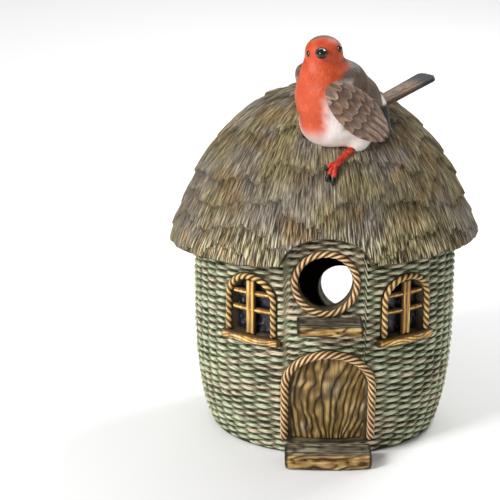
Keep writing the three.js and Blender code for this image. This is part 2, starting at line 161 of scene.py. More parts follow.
def turned(radius, z, angle):
    """Points at a radius, a height and an angle round the house, counted from its front."""
    return np.stack([radius * np.sin(angle), -radius * np.cos(angle), z], -1)


def looked_up(i, j, period):
    """Random values at fractional places of a table, eased between the four round each place.
    The columns come round again after a period, so that a pattern closes round the house."""
    i0, j0 = np.floor(i).astype(int), np.floor(j).astype(int)
    fi, fj = smooth(0.0, 1.0, i - i0), smooth(0.0, 1.0, j - j0)
    low, high = (carving_random[row % 97, j0 % period] * (1 - fj)
                 + carving_random[row % 97, (j0 + 1) % period] * fj for row in (i0, i0 + 1))
    return low * (1 - fi) + high * fi - 0.5


carving_random = np.random.default_rng(5).uniform(0.0, 1.0, (97, 720))


def inside_arch(across, z, arch, grow=0.0):
    """Signed depth inside an arch outline: the least distance to its sides, foot and top curve."""
    half = arch["width"] / 2 + grow
    spring = arch["top"] - arch["rise"]
    rise = arch["rise"] + grow
    up = np.maximum(z - spring, 0.0)
    reach = np.sqrt((across / half) ** 2 + (up / rise) ** 2)
    round_depth = (1.0 - reach) * np.where(up > 0, min(half, rise), half)
    return np.minimum(round_depth, z - (arch["bottom"] - grow))


def settle(shell, mesh):
    """Turns a casting's faces outwards, puts them in its mesh and shades it smooth."""
    bmesh.ops.recalc_face_normals(shell, faces=shell.faces)
    shell.to_mesh(mesh)
    shell.free()
    mesh.polygons.foreach_set("use_smooth", np.ones(len(mesh.polygons), dtype=bool))


def build_mesh(name, verts, faces, uvs, layers):
    """Makes a mesh object: its faces, a UV pair for each face corner, and one value for each
    vertex in every named layer. Doubled vertices are merged and faces turned outwards."""
    mesh = bpy.data.meshes.new(name)
    mesh.from_pydata(verts.reshape(-1, 3).tolist(), [], faces.tolist())
    if uvs is not None:
        mesh.uv_layers.new(name="surface").data.foreach_set("uv", uvs.astype(np.float32).ravel())
    for layer, values in layers.items():
        values = np.asarray(values, dtype=np.float32).ravel()
        mesh.attributes.new(layer, "FLOAT", "POINT").data.foreach_set("value", values)
    shell = bmesh.new()
    shell.from_mesh(mesh)
    bmesh.ops.remove_doubles(shell, verts=shell.verts, dist=MERGED_WITHIN)
    settle(shell, mesh)
    mesh.update()
    piece = bpy.data.objects.new(name, mesh)
    bpy.context.scene.collection.objects.link(piece)
    return piece


def grid_faces(rows, cols, wrap_rows=False):
    """Quads of a grid of rows by cols vertices, closed round its columns, and round its rows
    where they wrap, with each corner's row and column counted on past the seam."""
    i, j = np.meshgrid(np.arange(rows if wrap_rows else rows - 1), np.arange(cols), indexing="ij")
    corner_i = np.stack([i, i, i + 1, i + 1], -1).reshape(-1, 4)
    corner_j = np.stack([j, j + 1, j + 1, j], -1).reshape(-1, 4)
    return (corner_i % rows) * cols + corner_j % cols, corner_i, corner_j


def grid_piece(name, points, uv_rows, uv_cols, layers, wrap_rows=False):
    """A grid of points as a mesh, closed round its columns, with a UV map in metres: along the
    columns, then the rows. uv_cols, and uv_rows where they wrap, hold one value more."""
    faces, corner_i, corner_j = grid_faces(*points.shape[:2], wrap_rows)
    uvs = np.stack([np.asarray(uv_cols)[corner_j], np.asarray(uv_rows)[corner_i]], -1)
    return build_mesh(name, points, faces, uvs, layers)


def weave_relief(angle, z):
    """Basket weave: weavers one pitch apart sway in and out by a cosine of the stake count,
    each a flattened half-round that drifts up and down a little, and the next set, half a pitch
    up, sways the other way. The highest of the two sets and the stake behind is the surface."""
    stake = angle / (2 * np.pi) * STAKES
    drift = 0.00022 * np.sin(stake * 0.83 + 1.3) + 0.00018 * np.sin(stake * 2.1 + z * 260.0)
    relief = np.full_like(z, -1.0)
    tone = np.zeros_like(z)
    for parity in (0, 1):
        count = (z + drift) / WEAVER_PITCH - parity / 2.0
        nearest = np.round(count)
        away = np.abs(count - nearest) * WEAVER_PITCH
        lens = np.round((stake - parity) / 2.0) * 2 + parity
        thick = 1.0 + 0.22 * weave_random[nearest.astype(int) % 64, lens.astype(int) % STAKES]
        half = WEAVER_HALF * thick
        sway = WEAVER_SWAY * np.cos(np.pi * (stake - parity))
        body = WEAVER_CROWN * thick * half_circle(away / half)
        height = np.where(away < half, sway + body, -1.0)
        front = height > relief
        shade = weave_random[nearest.astype(int) % 64, (lens.astype(int) + 17) % STAKES]
        tone = np.where(front, shade, tone)
        relief = np.where(front, height, relief)
    from_stake = (stake - np.round(stake)) * (2 * np.pi * WALL_RADIUS / STAKES)
    post = STAKE_CROWN * half_circle(from_stake / STAKE_HALF) - STAKE_SUNK
    return np.maximum(relief, post), tone


weave_random = np.random.default_rng(11).uniform(-1.0, 1.0, (64, STAKES))
angles = np.linspace(-np.pi, np.pi, COLUMNS, endpoint=False)
tongue = half_circle(WALL_RADIUS * np.sin(angles - ENTRANCE_TURN) / TONGUE_HALF)
rim = WALL_TOP + (TONGUE_TOP - WALL_TOP) * tongue * (np.cos(angles) > 0)
climb = np.linspace(0.0, 1.0, OUTER_ROWS)
outer_z = BASE_EDGE + climb[:, None] * (rim[None, :] - BASE_EDGE)
around = np.broadcast_to(angles, outer_z.shape)
relief, weave_tone = weave_relief(around, outer_z)

pocket, bare = np.zeros_like(outer_z), np.zeros_like(outer_z)


def local_across(angle, turn):
    """Distance across from a turn round the wall, and whether the place is on that side."""
    return WALL_RADIUS * np.sin(angle - turn), np.cos(angle - turn) > 0


recesses = [(0.0, DOOR, DOOR_ROPE, DOOR_POCKET)]
recesses += [(turn, WINDOW, WINDOW_ROPE, WINDOW_POCKET) for turn in WINDOW_TURNS.values()]
for turn, arch, rope_arch, depth in recesses:
    across, near = local_across(around, turn)
    sunk = smooth(-0.0004, 0.0008, inside_arch(across, outer_z, arch))
    under_rope = smooth(-0.0012, 0.0006, inside_arch(across, outer_z, rope_arch, 0.002))
    pocket = np.maximum(pocket, depth * sunk * near)
    bare = np.maximum(bare, under_rope * near)
for turn, height, reach in ((ENTRANCE_TURN, ENTRANCE_Z, RING_BARE), (PORT_TURN, PORT_Z, PORT_BARE)):
    across, near = local_across(around, turn)
    covered = smooth(reach, reach - BARE_EASE, np.hypot(across, outer_z - height))
    bare = np.maximum(bare, covered * near)
from_edge = 1.0 - np.clip(outer_z / FOOT_EDGE, 0, 1)
foot_round = FOOT_ROUND * (1.0 - half_circle(from_edge))
relief = (relief - RELIEF_SUNK) * (1 - bare) - BARE_SUNK * bare
outer_radius = wall_radius(outer_z) + relief - pocket - foot_round

inner_levels = np.concatenate([[1.0, 0.985, 0.96], np.linspace(0.93, 0.10, 56)])
inner_z = INNER_FOOT + inner_levels[:, None] * (rim[None, :] - INNER_FOOT)
inner_radius = wall_radius(inner_z) - WALL_THICK
inner_radius[0] += 0.0006
seat_radius, seat_z = (np.repeat(FLOOR_SEAT[:, n:n + 1], COLUMNS, axis=1) for n in (0, 1))
rim_radius = outer_radius[-1] - np.array([0.002, 0.005])[:, None]
rim_z = np.repeat(rim[None, :] + 0.0005, 2, axis=0)
wall_z = np.vstack([outer_z, rim_z, inner_z, seat_z])
wall_r = np.vstack([outer_radius, rim_radius, inner_radius, seat_radius])
plain_rows = len(wall_z) - OUTER_ROWS
warm = 0.30 * smooth(0.70, 0.97, np.cos(around - ENTRANCE_TURN)) + 0.25 * smooth(0.116, 0.126, outer_z)
wall_layers = {"height": (np.clip((relief + 0.0025) / 0.0033, 0, 1), 0.25),
               "tone": (weave_tone * 0.5 + 0.5 + warm, 0.5),
               "plain": (np.maximum(bare, pocket > 0.001), 1.0)}
wall_layers = {layer: np.vstack([outside, np.full((plain_rows, COLUMNS), inside)])
               for layer, (outside, inside) in wall_layers.items()}
rise_along = np.concatenate([[0.0], np.cumsum(np.hypot(np.diff(wall_z[:, 0]), np.diff(wall_r[:, 0])))])
wall = grid_piece(
    "woven_wall", turned(wall_r, wall_z, angles), np.append(rise_along, rise_along[-1] + 0.002),
    np.linspace(-np.pi, np.pi, COLUMNS + 1) * WALL_RADIUS, wall_layers, wrap_rows=True)


def chains(edges):
    """The closed chains that a set of edges makes, each as its vertices in order."""
    left = set(edges)
    found = []
    while left:
        edge = left.pop()
        chain = [edge.verts[0], edge.verts[1]]
        while True:
            step = next((other for other in chain[-1].link_edges if other in left), None)
            if step is None:
                break
            left.remove(step)
            chain.append(step.other_vert(chain[-1]))
        found.append(chain[:-1] if chain[0] == chain[-1] else chain)
    return found


def started_level(chain, place):
    """A chain round a hole, turned to run anticlockwise from the vertex most level with it."""
    spots = [place(vert.co) for vert in chain]
    area = sum(a[0] * b[1] - b[0] * a[1] for a, b in zip(spots, spots[1:] + spots[:1]))
    if area < 0:
        chain, spots = chain[::-1], spots[::-1]
    first = min(range(len(chain)), key=lambda n: abs(math.atan2(spots[n][1], spots[n][0])))
    return chain[first:] + chain[:first]


def bore(piece, turn, height, radius):
    """Opens a round hole through a hollow wall: the faces inside the circle go, the edges left
    are drawn onto the circle, and the outer and inner chains are joined by triangles, taking a
    step along whichever chain is behind."""
    shell = bmesh.new()
    shell.from_mesh(piece.data)
    out = np.array([math.sin(turn), -math.cos(turn)])
    side = np.array([math.cos(turn), math.sin(turn)])

    def place(point):
        """How far a point is across, up and out from the hole's middle and the wall's axis."""
        return point.x * side[0] + point.y * side[1], point.z - height, point.x * out[0] + point.y * out[1]

    gone = []
    for face in shell.faces:
        a, b, depth = place(face.calc_center_median())
        if depth > 0.04 and a * a + b * b < radius * radius:
            gone.append(face)
    bmesh.ops.delete(shell, geom=gone, context="FACES")
    edges = [edge for edge in shell.edges if edge.is_boundary]
    for vert in {vert for edge in edges for vert in edge.verts}:
        a, b, depth = place(vert.co)
        grow = radius / math.hypot(a, b)
        shift = (a * (grow - 1), b * (grow - 1))
        vert.co.x += side[0] * shift[0]
        vert.co.y += side[1] * shift[0]
        vert.co.z += shift[1]
    outer, inner = sorted(chains(edges), key=lambda chain: -place(chain[0].co)[2])
    outer, inner = [started_level(chain, place) for chain in (outer, inner)]
    i = j = 0
    while i < len(outer) or j < len(inner):
        a, b = outer[i % len(outer)], inner[j % len(inner)]
        if j == len(inner) or (i < len(outer) and i * len(inner) <= j * len(outer)):
            i += 1
            shell.faces.new((a, b, outer[i % len(outer)]))
        else:
            j += 1
            shell.faces.new((a, b, inner[j % len(inner)]))
    settle(shell, piece.data)


bore(wall, ENTRANCE_TURN, ENTRANCE_Z, ENTRANCE_RADIUS)
bore(wall, PORT_TURN, PORT_Z, PORT_RADIUS)


class Paint:
    """A material built node by node on one Principled shader."""

    def __init__(self, name, roughness, specular):
        """Starts a material with its roughness and its specular level."""
        self.material = bpy.data.materials.new(name)
        self.material.use_nodes = True
        self.tree = self.material.node_tree
        self.surface = self.tree.nodes["Principled BSDF"]
        self.surface.inputs["Roughness"].default_value = roughness
        self.surface.inputs["Specular IOR Level"].default_value = specular

    def shade(self, kind, settings=None, **sockets):
        """Adds a node of a kind. A socket, by its name or its number, is set or linked."""
        node = self.tree.nodes.new("ShaderNode" + kind)
        for key, value in (settings or {}).items():
            setattr(node, key, value)
        for key, value in sockets.items():
            socket = node.inputs[int(key[1:]) if key[1:].isdigit() else key.replace("_", " ")]
            if isinstance(value, bpy.types.NodeSocket):
                self.tree.links.new(value, socket)
            else:
                plain_colour = socket.type == "RGBA" and len(value) == 3
                socket.default_value = (*value, 1.0) if plain_colour else value
        return node

    def layer(self, name):
        """The value of a named layer of the mesh."""
        return self.shade("Attribute", {"attribute_name": name}).outputs["Fac"]

    def noise(self, scale, detail=3.0, stretch=None, source="Object"):
        """Noise on object coordinates, or on the UV map, stretched by three factors."""
        coords = self.shade("TexCoord").outputs[source]
        if stretch:
            coords = self.shade("Mapping", Vector=coords, Scale=stretch).outputs["Vector"]
        return self.shade("TexNoise", Vector=coords, Scale=scale, Detail=detail).outputs["Fac"]

    def ramp(self, value, stops):
        """A colour ramp through (place, colour) stops. A colour of whole numbers is a
        paint-chart colour, and one of fractions is linear light."""
        node = self.shade("ValToRGB", Fac=value)
        ramp = node.color_ramp
        while len(ramp.elements) < len(stops):
            ramp.elements.new(0.5)
        for element, (place, colour) in zip(ramp.elements, stops):
            element.position = place
            light = colour if isinstance(colour[0], float) else linear(*colour)
            element.color = (*light, 1.0)
        return node.outputs["Color"]

    def math(self, operation, a, b):
        """A value from two others, by the named operation."""
        return self.shade("Math", {"operation": operation}, _0=a, _1=b).outputs["Value"]

    def plus(self, a, b):
        """The sum of two values."""
        return self.math("ADD", a, b)

    def less(self, a, b):
        """The first value less the second."""
        return self.math("SUBTRACT", a, b)

    def times(self, a, b):
        """The product of two values."""
        return self.math("MULTIPLY", a, b)

    def mix(self, factor, a, b):
        """The first colour where the factor is 0, passing to the second where it is 1."""
        return self.shade("Mix", {"data_type": "RGBA"}, _0=factor, _6=a, _7=b).outputs[2]

    def spread(self, value, low, high):
        """Stretches a value so that low becomes 0 and high becomes 1."""
        return self.shade("MapRange", Value=value, From_Min=low, From_Max=high).outputs["Result"]

    def lit(self, layer, grain, edges, share, off):
        """How brightly a carved place is painted: its height in a layer, and a share of the
        grain, stretched between two edges, less an amount."""
        return self.less(self.plus(self.layer(layer), self.times(self.spread(grain, *edges), share)), off)

    def finish(self, colour, bump, distance, strength, rough=None):
        """Joins the colour, the bump and any roughness to the surface, and gives the material."""
        self.tree.links.new(colour, self.surface.inputs["Base Color"])
        node = self.shade("Bump", Height=bump, Distance=distance, Strength=strength)
        self.tree.links.new(node.outputs["Normal"], self.surface.inputs["Normal"])
        if rough is not None:
            self.tree.links.new(rough, self.surface.inputs["Roughness"])
        return self.material


def wicker_paint():
    """Dark olive wash in the gaps, sage on the weavers, cream dry-brushed on their crowns, with
    warm and purple-grey weavers among them and fine fibre along each."""
    paint = Paint("wicker_paint", 0.72, 0.25)
    fibre = paint.noise(1.0, 4.0, (220.0, 2600.0, 1.0), "UV")
    height = paint.math("MAXIMUM", paint.lit("height", fibre, (0.2, 0.8), 1.0, 0.5), 0.0)
    body = paint.ramp(height, [
        (0.0, (25, 24, 17)), (0.36, (44, 43, 31)), (0.57, (84, 85, 62)),
        (0.76, (140, 145, 113)), (0.95, (200, 206, 173))])
    warm = paint.ramp(height, [
        (0.0, (24, 19, 13)), (0.40, (54, 45, 33)), (0.74, (140, 124, 98)),
        (0.95, (214, 202, 174))])
    tint = paint.spread(paint.plus(paint.layer("tone"), paint.noise(38.0, 2.0)), 1.0, 1.6)
    colour = paint.mix(tint, body, warm)
    base = paint.ramp(paint.noise(120.0), [(0.3, (44, 38, 26)), (0.7, (92, 82, 62))])
    colour = paint.mix(paint.layer("plain"), colour, base)
    return paint.finish(colour, fibre, 0.0004, 0.5)


wall.data.materials.append(wicker_paint())
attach(wall, "house")
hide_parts("wicker_wall")

# ------------------------------------------------------------------ thatch roof
# One hollow resin casting carved like combed thatch: ragged courses of straw, each standing
# proud at its lower edge, cut up into an eyebrow over the entrance. It sits loose on the wall.
ROOF_OUTLINE = np.array([(0.0, 0.217), (0.020, 0.2145), (0.038, 0.208), (0.052, 0.198), (0.066, 0.1835),
                         (0.0794, 0.164), (0.0905, 0.139), (0.0960, 0.124), (0.0968, 0.110)])
ROOF_INSIDE = np.array([(0.0843, 0.1263), (0.0760, 0.1263), (0.0760, 0.146), (0.070, 0.162),
                        (0.059, 0.178), (0.044, 0.192), (0.025, 0.203), (0.0, 0.208)])
COURSE = 0.0215
COURSE_THICK = 0.0013
NOTCH_HALF, NOTCH_SPRING, NOTCH_RISE, NOTCH_OUT = 0.0255, 0.1262, 0.0160, 0.089
EAVE_RAGGED = 0.0011
COURSE_SHIFT = 0.0313
ROOF_COLUMNS, ROOF_ROWS = 480, 170


def spline(points, count):
    """A smooth line through points: each span is a cubic whose end slopes are half the step
    between the neighbours on either side."""
    padded = np.vstack([points[:1], points, points[-1:]])
    place = np.linspace(0.0, len(points) - 1.0, count)
    span = np.minimum(place.astype(int), len(points) - 2)
    t = (place - span)[:, None]
    a, b, c, d = (padded[span + n] for n in range(4))
    slope0, slope1 = (c - a) / 2, (d - b) / 2
    return ((2 * b - 2 * c + slope0 + slope1) * t ** 3 + (3 * c - 3 * b - 2 * slope0 - slope1) * t ** 2
            + slope0 * t + b)


def eave_height(angle):
    """Height of the eave's lower edge: highest at the front right, lowest at the back left."""
    return 0.1222 + 0.0040 * np.cos(angle) + 0.0026 * np.sin(angle)


def thatch_relief(angle, fallen, eave):
    """Straw in courses: a sawtooth of the distance up from the eave, thickest at each lower
    edge, with the edges thrown up and down by slow and quick sways round the roof; long ridges
    of random height run down it. Gives the height, how far up its course each place is, the
    course's number, and the shade of its straws."""
    turns = angle / (2 * np.pi) + 0.5
    up = (eave - fallen) / COURSE
    sway = 1.5 * looked_up(up * 0.35 + 3, turns * 13, 13) + 0.7 * looked_up(up * 0.8 + 9, turns * 37, 37)
    nearest = np.round(up + sway)
    tips = looked_up(nearest * 3.7, turns * 170, 170)
    lifted = up + sway + 0.30 * tips
    course = np.floor(lifted)
    part = lifted - course
    clumps = looked_up(fallen / 0.019 + course * 5.3, turns * 90, 90)
    straws = looked_up(fallen / 0.011 + course * 11.1, turns * 236, 236)
    height = COURSE_THICK * (0.5 - smooth(0.0, 1.0, part) * 0.9) + 0.0010 * clumps + 0.0009 * straws
    return height, part, course, straws + 0.6 * clumps


roof_line = spline(ROOF_OUTLINE, 900)
roof_along = np.concatenate([[0.0], np.cumsum(np.hypot(*np.diff(roof_line, axis=0).T))])
roof_angles = np.linspace(-np.pi, np.pi, ROOF_COLUMNS, endpoint=False)
notch_across = NOTCH_OUT * np.sin(roof_angles - ENTRANCE_TURN)
notch = NOTCH_SPRING + NOTCH_RISE * half_circle(notch_across / NOTCH_HALF)
notch = np.where((np.abs(notch_across) < NOTCH_HALF) & (np.cos(roof_angles) > 0), notch, 0.0)
eave_rag = looked_up(5.0 + 0 * roof_angles, (roof_angles / (2 * np.pi) + 0.5) * 120, 120)
eave_z = eave_height(roof_angles) + EAVE_RAGGED * eave_rag
cut_z = np.maximum(eave_z, notch)
cut_fallen = np.interp(-cut_z, -roof_line[:, 1], roof_along)
eave_fallen = np.interp(-eave_height(roof_angles), -roof_line[:, 1], roof_along)
fallen = np.linspace(0.0, 1.0, ROOF_ROWS)[:, None] * cut_fallen[None, :]
roof_around = np.broadcast_to(roof_angles, fallen.shape)
# under says how far up its course each place is; the paint turns it into painted shade below the course above.
straw_height, under, course, straw_shade = thatch_relief(roof_around, fallen, eave_fallen[None, :])
straw_height = straw_height * smooth(0.0, 0.014, fallen)
line_r = np.interp(fallen, roof_along, roof_line[:, 0])
line_z = np.interp(fallen, roof_along, roof_line[:, 1])
slope_r = np.gradient(roof_line[:, 0], roof_along)
slope_z = np.gradient(roof_line[:, 1], roof_along)
straw_r = line_r - np.interp(fallen, roof_along, slope_z) * straw_height
straw_z = line_z + np.interp(fallen, roof_along, slope_r) * straw_height
straw_r[0] = 0.0

rim_r = np.vstack([straw_r[-1] - 0.0016, straw_r[-1] - 0.0040, np.full(ROOF_COLUMNS, ROOF_INSIDE[0, 0])])
rim_z = np.vstack([straw_z[-1] - 0.0010, cut_z - 0.0006, cut_z + 0.0004])
hollow_r = np.repeat(ROOF_INSIDE[:, :1], ROOF_COLUMNS, axis=1)
hollow_z = np.maximum(ROOF_INSIDE[:, 1:], cut_z[None, :] * (ROOF_INSIDE[:, :1] > 0.0755) + 0.0005)
roof_r = np.vstack([straw_r, rim_r, hollow_r])
roof_z = np.vstack([straw_z, rim_z, hollow_z])
plain_rows = len(roof_r) - ROOF_ROWS


def with_inside(values, inside):
    """A layer worked out on the outer rows, with one value over the rim and the hollow."""
    return np.vstack([values, np.full((plain_rows, ROOF_COLUMNS), inside)])


course_radius = np.interp(eave_fallen[None, :] - (course + 0.5) * COURSE, roof_along, roof_line[:, 0])
faces, corner_i, corner_j = grid_faces(*roof_r.shape)
corner_angle = np.append(roof_angles, np.pi)[corner_j]
strip_u = with_inside(np.maximum(course_radius, 0.006), 0.08).ravel()[faces] * corner_angle
strip_v = with_inside(fallen + course * COURSE_SHIFT, 0.0).ravel()[faces]
strip_v = strip_v + 0.002 * np.maximum(corner_i - ROOF_ROWS, 0)
patches = looked_up(fallen / 0.016, (roof_around / (2 * np.pi) + 0.5) * 26, 26)
front = smooth(0.2, 0.9, np.cos(roof_around)) * smooth(0.034, 0.004, eave_fallen[None, :] - fallen)
thatch = build_mesh(
    "thatched_roof", turned(roof_r, roof_z, roof_angles), faces, np.stack([strip_u, strip_v], -1),
    # The under layer drives the painted shade at the top of each course.
    {"height": with_inside(0.5 + 0.9 * straw_shade, 0.2), "under": with_inside(under, 0.9),
     "tone": with_inside(0.5 + patches, 0.5), "pale": with_inside(front, 0.0)})


def thatch_paint():
    """Long fine straws from noise stretched down each course, with painted shade at the top of each
    course under the proud lower edge of the course above, in olive brown with purple-grey patches,
    and dry-brushed cream over the entrance."""
    paint = Paint("thatch_paint", 0.85, 0.15)
    straw = paint.noise(1.0, 2.0, (1150.0, 90.0, 1.0), "UV")
    fine = paint.noise(1.0, 2.0, (2700.0, 240.0, 1.0), "UV")
    light = paint.plus(paint.times(paint.spread(straw, 0.3, 0.7), 0.5),
                       paint.times(paint.spread(fine, 0.25, 0.75), 0.38))
    light = paint.plus(light, paint.times(paint.layer("height"), 0.20))
    # Painted shade: darkest at the top of each course, where the lower edge of the course above shades it.
    light = paint.less(light, paint.times(paint.math("POWER", paint.layer("under"), 5.0), 0.16))
    streaks = paint.less(paint.times(paint.spread(straw, 0.42, 0.62), 0.50), 0.14)
    light = paint.plus(paint.less(light, 0.13), paint.times(paint.layer("pale"), streaks))
    olive = paint.ramp(light, [
        (0.0, (36, 33, 24)), (0.22, (76, 69, 49)), (0.42, (118, 107, 78)),
        (0.62, (158, 146, 106)), (0.88, (214, 206, 164))])
    grey = paint.ramp(light, [
        (0.0, (36, 33, 30)), (0.24, (80, 73, 66)), (0.44, (120, 111, 100)),
        (0.64, (156, 147, 132)), (0.90, (212, 206, 188))])
    brown = paint.ramp(light, [
        (0.0, (40, 30, 20)), (0.26, (88, 71, 49)), (0.50, (138, 115, 80)),
        (0.90, (208, 188, 146))])
    tint = paint.spread(paint.plus(paint.layer("tone"), paint.noise(26.0, 3.0)), 0.70, 1.40)
    colour = paint.mix(tint, olive, grey)
    colour = paint.mix(paint.spread(paint.noise(44.0, 2.0), 0.52, 0.68), colour, brown)
    return paint.finish(colour, light, 0.0010, 0.75)


thatch.data.materials.append(thatch_paint())
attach(thatch, "roof")
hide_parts("thatch_roof")

# ------------------------------------------------------------------ rope mouldings
# Cast resin mouldings shaped like laid rope, glued round the entrance, the door and both
# windows. Strands are tan or ochre on their crowns, with dark wash left in the grooves.
RING_RADIUS, RING_THICK = 0.0184, 0.0038
DOOR_ROPE_THICK, WINDOW_ROPE_THICK = 0.0046, 0.0034
ROPE_STEP, ROPE_END = 0.00045, 0.0012


def on_wall(across, z, stand_off, turn):
    """The point on the wall at a distance across from a turn, at a height, stood off the face."""
    out = np.sqrt((wall_radius(z) + stand_off) ** 2 - across ** 2)
    return np.stack([across * np.cos(turn) + out * np.sin(turn),
                     across * np.sin(turn) - out * np.cos(turn), z + 0 * across], -1)


def evenly(path, step):
    """Points a near-equal step apart along a path, by its running length."""
    run = np.concatenate([[0.0], np.cumsum(np.linalg.norm(np.diff(path, axis=0), axis=1))])
    marks = np.linspace(0.0, run[-1], int(run[-1] / step) + 1)
    return np.stack([np.interp(marks, run, path[:, axis]) for axis in range(3)], -1), marks


def once_round(count):
    """A row of angles in equal steps once round."""
    return np.linspace(0.0, 2 * np.pi, count, endpoint=False)[None, :]


def unit(vectors):
    """Vectors brought to length one."""
    return vectors / np.linalg.norm(vectors, axis=-1, keepdims=True)


def laid_rope(name, path, thick, strands, lay, closed=False):
    """A rope along a path: its round section is scalloped into strands by |cos| of half the
    strand count times the angle, and the scallops turn once round in each lay. A closed rope
    takes the nearest lay that meets itself, and an open one ends in quarter rounds."""
    centre, run = evenly(path, ROPE_STEP)
    if closed:
        lay = run[-1] / (np.round(run[-1] / lay * strands) / strands)
        centre, along = centre[:-1], run[:-1]
        tangent = unit(np.roll(centre, -1, 0) - np.roll(centre, 1, 0))
    else:
        along = run
        tangent = unit(np.gradient(centre, axis=0))
    out = np.stack([centre[:, 0], centre[:, 1], 0 * centre[:, 0]], -1)
    out = unit(out - (out * tangent).sum(-1, keepdims=True) * tangent)
    beside = np.cross(tangent, out)
    round_count = 40
    turn = once_round(round_count)
    twist = (-2 * np.pi * along / lay)[:, None]
    crest = np.abs(np.cos(strands / 2 * (turn - twist)))
    radius = thick / 2 * (0.66 + 0.38 * crest ** 0.7)
    if not closed:
        from_end = (1.0 - np.minimum(along, along[-1] - along) / ROPE_END).clip(0)
        radius = radius * half_circle(from_end)[:, None]
    points = (centre[:, None] + radius[..., None] * (
        np.cos(turn)[..., None] * out[:, None] + np.sin(turn)[..., None] * beside[:, None]))
    faces, corner_i, corner_j = grid_faces(len(centre), round_count, closed)
    corner_turn = corner_j * 2 * np.pi / round_count
    corner_run = np.append(along, run[-1])[corner_i]
    uvs = np.stack([(corner_turn + 2 * np.pi * corner_run / lay) * thick / 2, corner_run], -1)
    piece = build_mesh(name, points, faces, uvs, {"crest": crest})
    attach(piece, "house")
    return piece


def halfway(first, second, share):
    """A share of the sum of two paint-chart colours, added in linear light."""
    return tuple(share * (a + b) for a, b in zip(linear(*first), linear(*second)))


def rope_paint(name, groove, middle, crown):
    """Dark wash in the grooves between the strands, the rope colour on them and a pale dry
    brush on their crowns, broken up by fibres running along the strands."""
    paint = Paint(name, 0.6, 0.3)
    fibre = paint.noise(1.0, 3.0, (1900.0, 420.0, 1.0), "UV")
    colour = paint.ramp(paint.lit("crest", fibre, (0.2, 0.8), 0.5, 0.28), [
        (0.18, groove), (0.42, halfway(groove, middle, 0.5)), (0.66, middle), (0.98, crown)])
    worn = paint.mix(paint.spread(paint.noise(160.0, 2.0), 0.45, 0.75), colour, linear(*groove))
    colour = paint.mix(0.35, colour, worn)
    return paint.finish(colour, fibre, 0.0003, 0.6)


def arch_route(arch, stand_off, turn):
    """Up one side of an arch, over its half ellipse and down the other side, on the wall."""
    half, spring = arch["width"] / 2, arch["top"] - arch["rise"]
    climb = np.linspace(arch["bottom"], spring, 60)[:-1]
    sweep = np.linspace(np.pi, 0.0, 160)
    across = np.concatenate([np.full(len(climb), -half), half * np.cos(sweep), np.full(len(climb), half)])
    z = np.concatenate([climb, spring + arch["rise"] * np.sin(sweep), climb[::-1]])
    return on_wall(across, z, stand_off, turn)


tan_rope = rope_paint("tan_rope_paint", (34, 20, 10), (166, 116, 62), (238, 210, 164))
ochre_rope = rope_paint("ochre_rope_paint", (38, 26, 12), (168, 122, 58), (232, 202, 140))

sweep = np.linspace(0.0, 2 * np.pi, 400)
ring_path = on_wall(RING_RADIUS * np.cos(sweep), ENTRANCE_Z + RING_RADIUS * np.sin(sweep),
                    RING_THICK / 4, ENTRANCE_TURN)
ring = laid_rope("entrance_ring", ring_path, RING_THICK, 3, 0.0135, closed=True)
ring.data.materials.append(tan_rope)
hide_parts("entrance_rope_ring")

door_route = arch_route(DOOR_ROPE, DOOR_ROPE_THICK / 4, 0.0)
door_rope = laid_rope("door_surround", door_route, DOOR_ROPE_THICK, 4, 0.0168)
door_rope.data.materials.append(tan_rope)
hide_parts("door_rope_arch")

for side, turn in WINDOW_TURNS.items():
    window_route = arch_route(WINDOW_ROPE, WINDOW_ROPE_THICK / 4, turn)
    window_rope = laid_rope(f"{side}_window_surround", window_route, WINDOW_ROPE_THICK, 2, 0.0084)
    window_rope.data.materials.append(ochre_rope)
    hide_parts(f"{side}_window_rope_arch")

# ------------------------------------------------------------------ door leaf
# A blind door cast with the deep wavy grain of weathered oak, set back in its pocket and
# painted ochre over a dark brown wash.
DOOR_FACE, DOOR_BACK = -0.0023, -0.0052
EASED_EDGE = 0.0010


def carved_grain(across, along, pitch, sway, seed):
    """Ridges a pitch apart across the grain, from 0 in a groove to 1 on a ridge: the root of
    |sin|, its phase thrown sideways by slow random sways along the grain."""
    wander = looked_up(along / 0.012 + seed, across / 0.007 + seed * 3.1, 64) * sway
    wander = wander + looked_up(along / 0.005 + seed * 7.7, across / 0.004 + 11.0, 64) * sway * 0.35
    count = (across + wander) / pitch
    ridge = np.sqrt(np.abs(np.sin(np.pi * count)))
    notched = looked_up(along / 0.004 + seed, np.floor(count) * 1.7 + 31.0, 64)
    return np.clip(ridge * (0.86 + 0.5 * notched), 0.0, 1.0)


def capped(points, *layers):
    """A tube of rows with each end drawn to one point at its middle, with layers to match."""
    first, last = (np.broadcast_to(end.mean(1, keepdims=True), end.shape) for end in (points[:1], points[-1:]))
    grown = [np.concatenate([first, points, last])]
    grown += [np.concatenate([layer[:1], layer, layer[-1:]]) for layer in layers]
    return grown


def arch_levels(arch, count, crown, crown_count):
    """Heights up an arch in equal steps, then closer by the square through its crown."""
    near_top = arch["top"] - crown * (1 - np.linspace(0, 1, crown_count)[1:-1]) ** 2
    return np.concatenate([np.linspace(arch["bottom"], arch["top"] - crown, count), near_top])


def arch_half(arch, z):
    """Half an arch's width at a height: full up to its spring, and then a half ellipse."""
    up = np.maximum(z - (arch["top"] - arch["rise"]), 0.0)
    return arch["width"] / 2 * half_circle(up / arch["rise"], 0.0002)


def face_grid(half_width, z, columns):
    """How far across and how high each point of a board's face is, its rows climbing in z."""
    across = half_width[:, None] * np.linspace(-1.0, 1.0, columns)[None, :]
    return across, np.broadcast_to(z[:, None], across.shape)


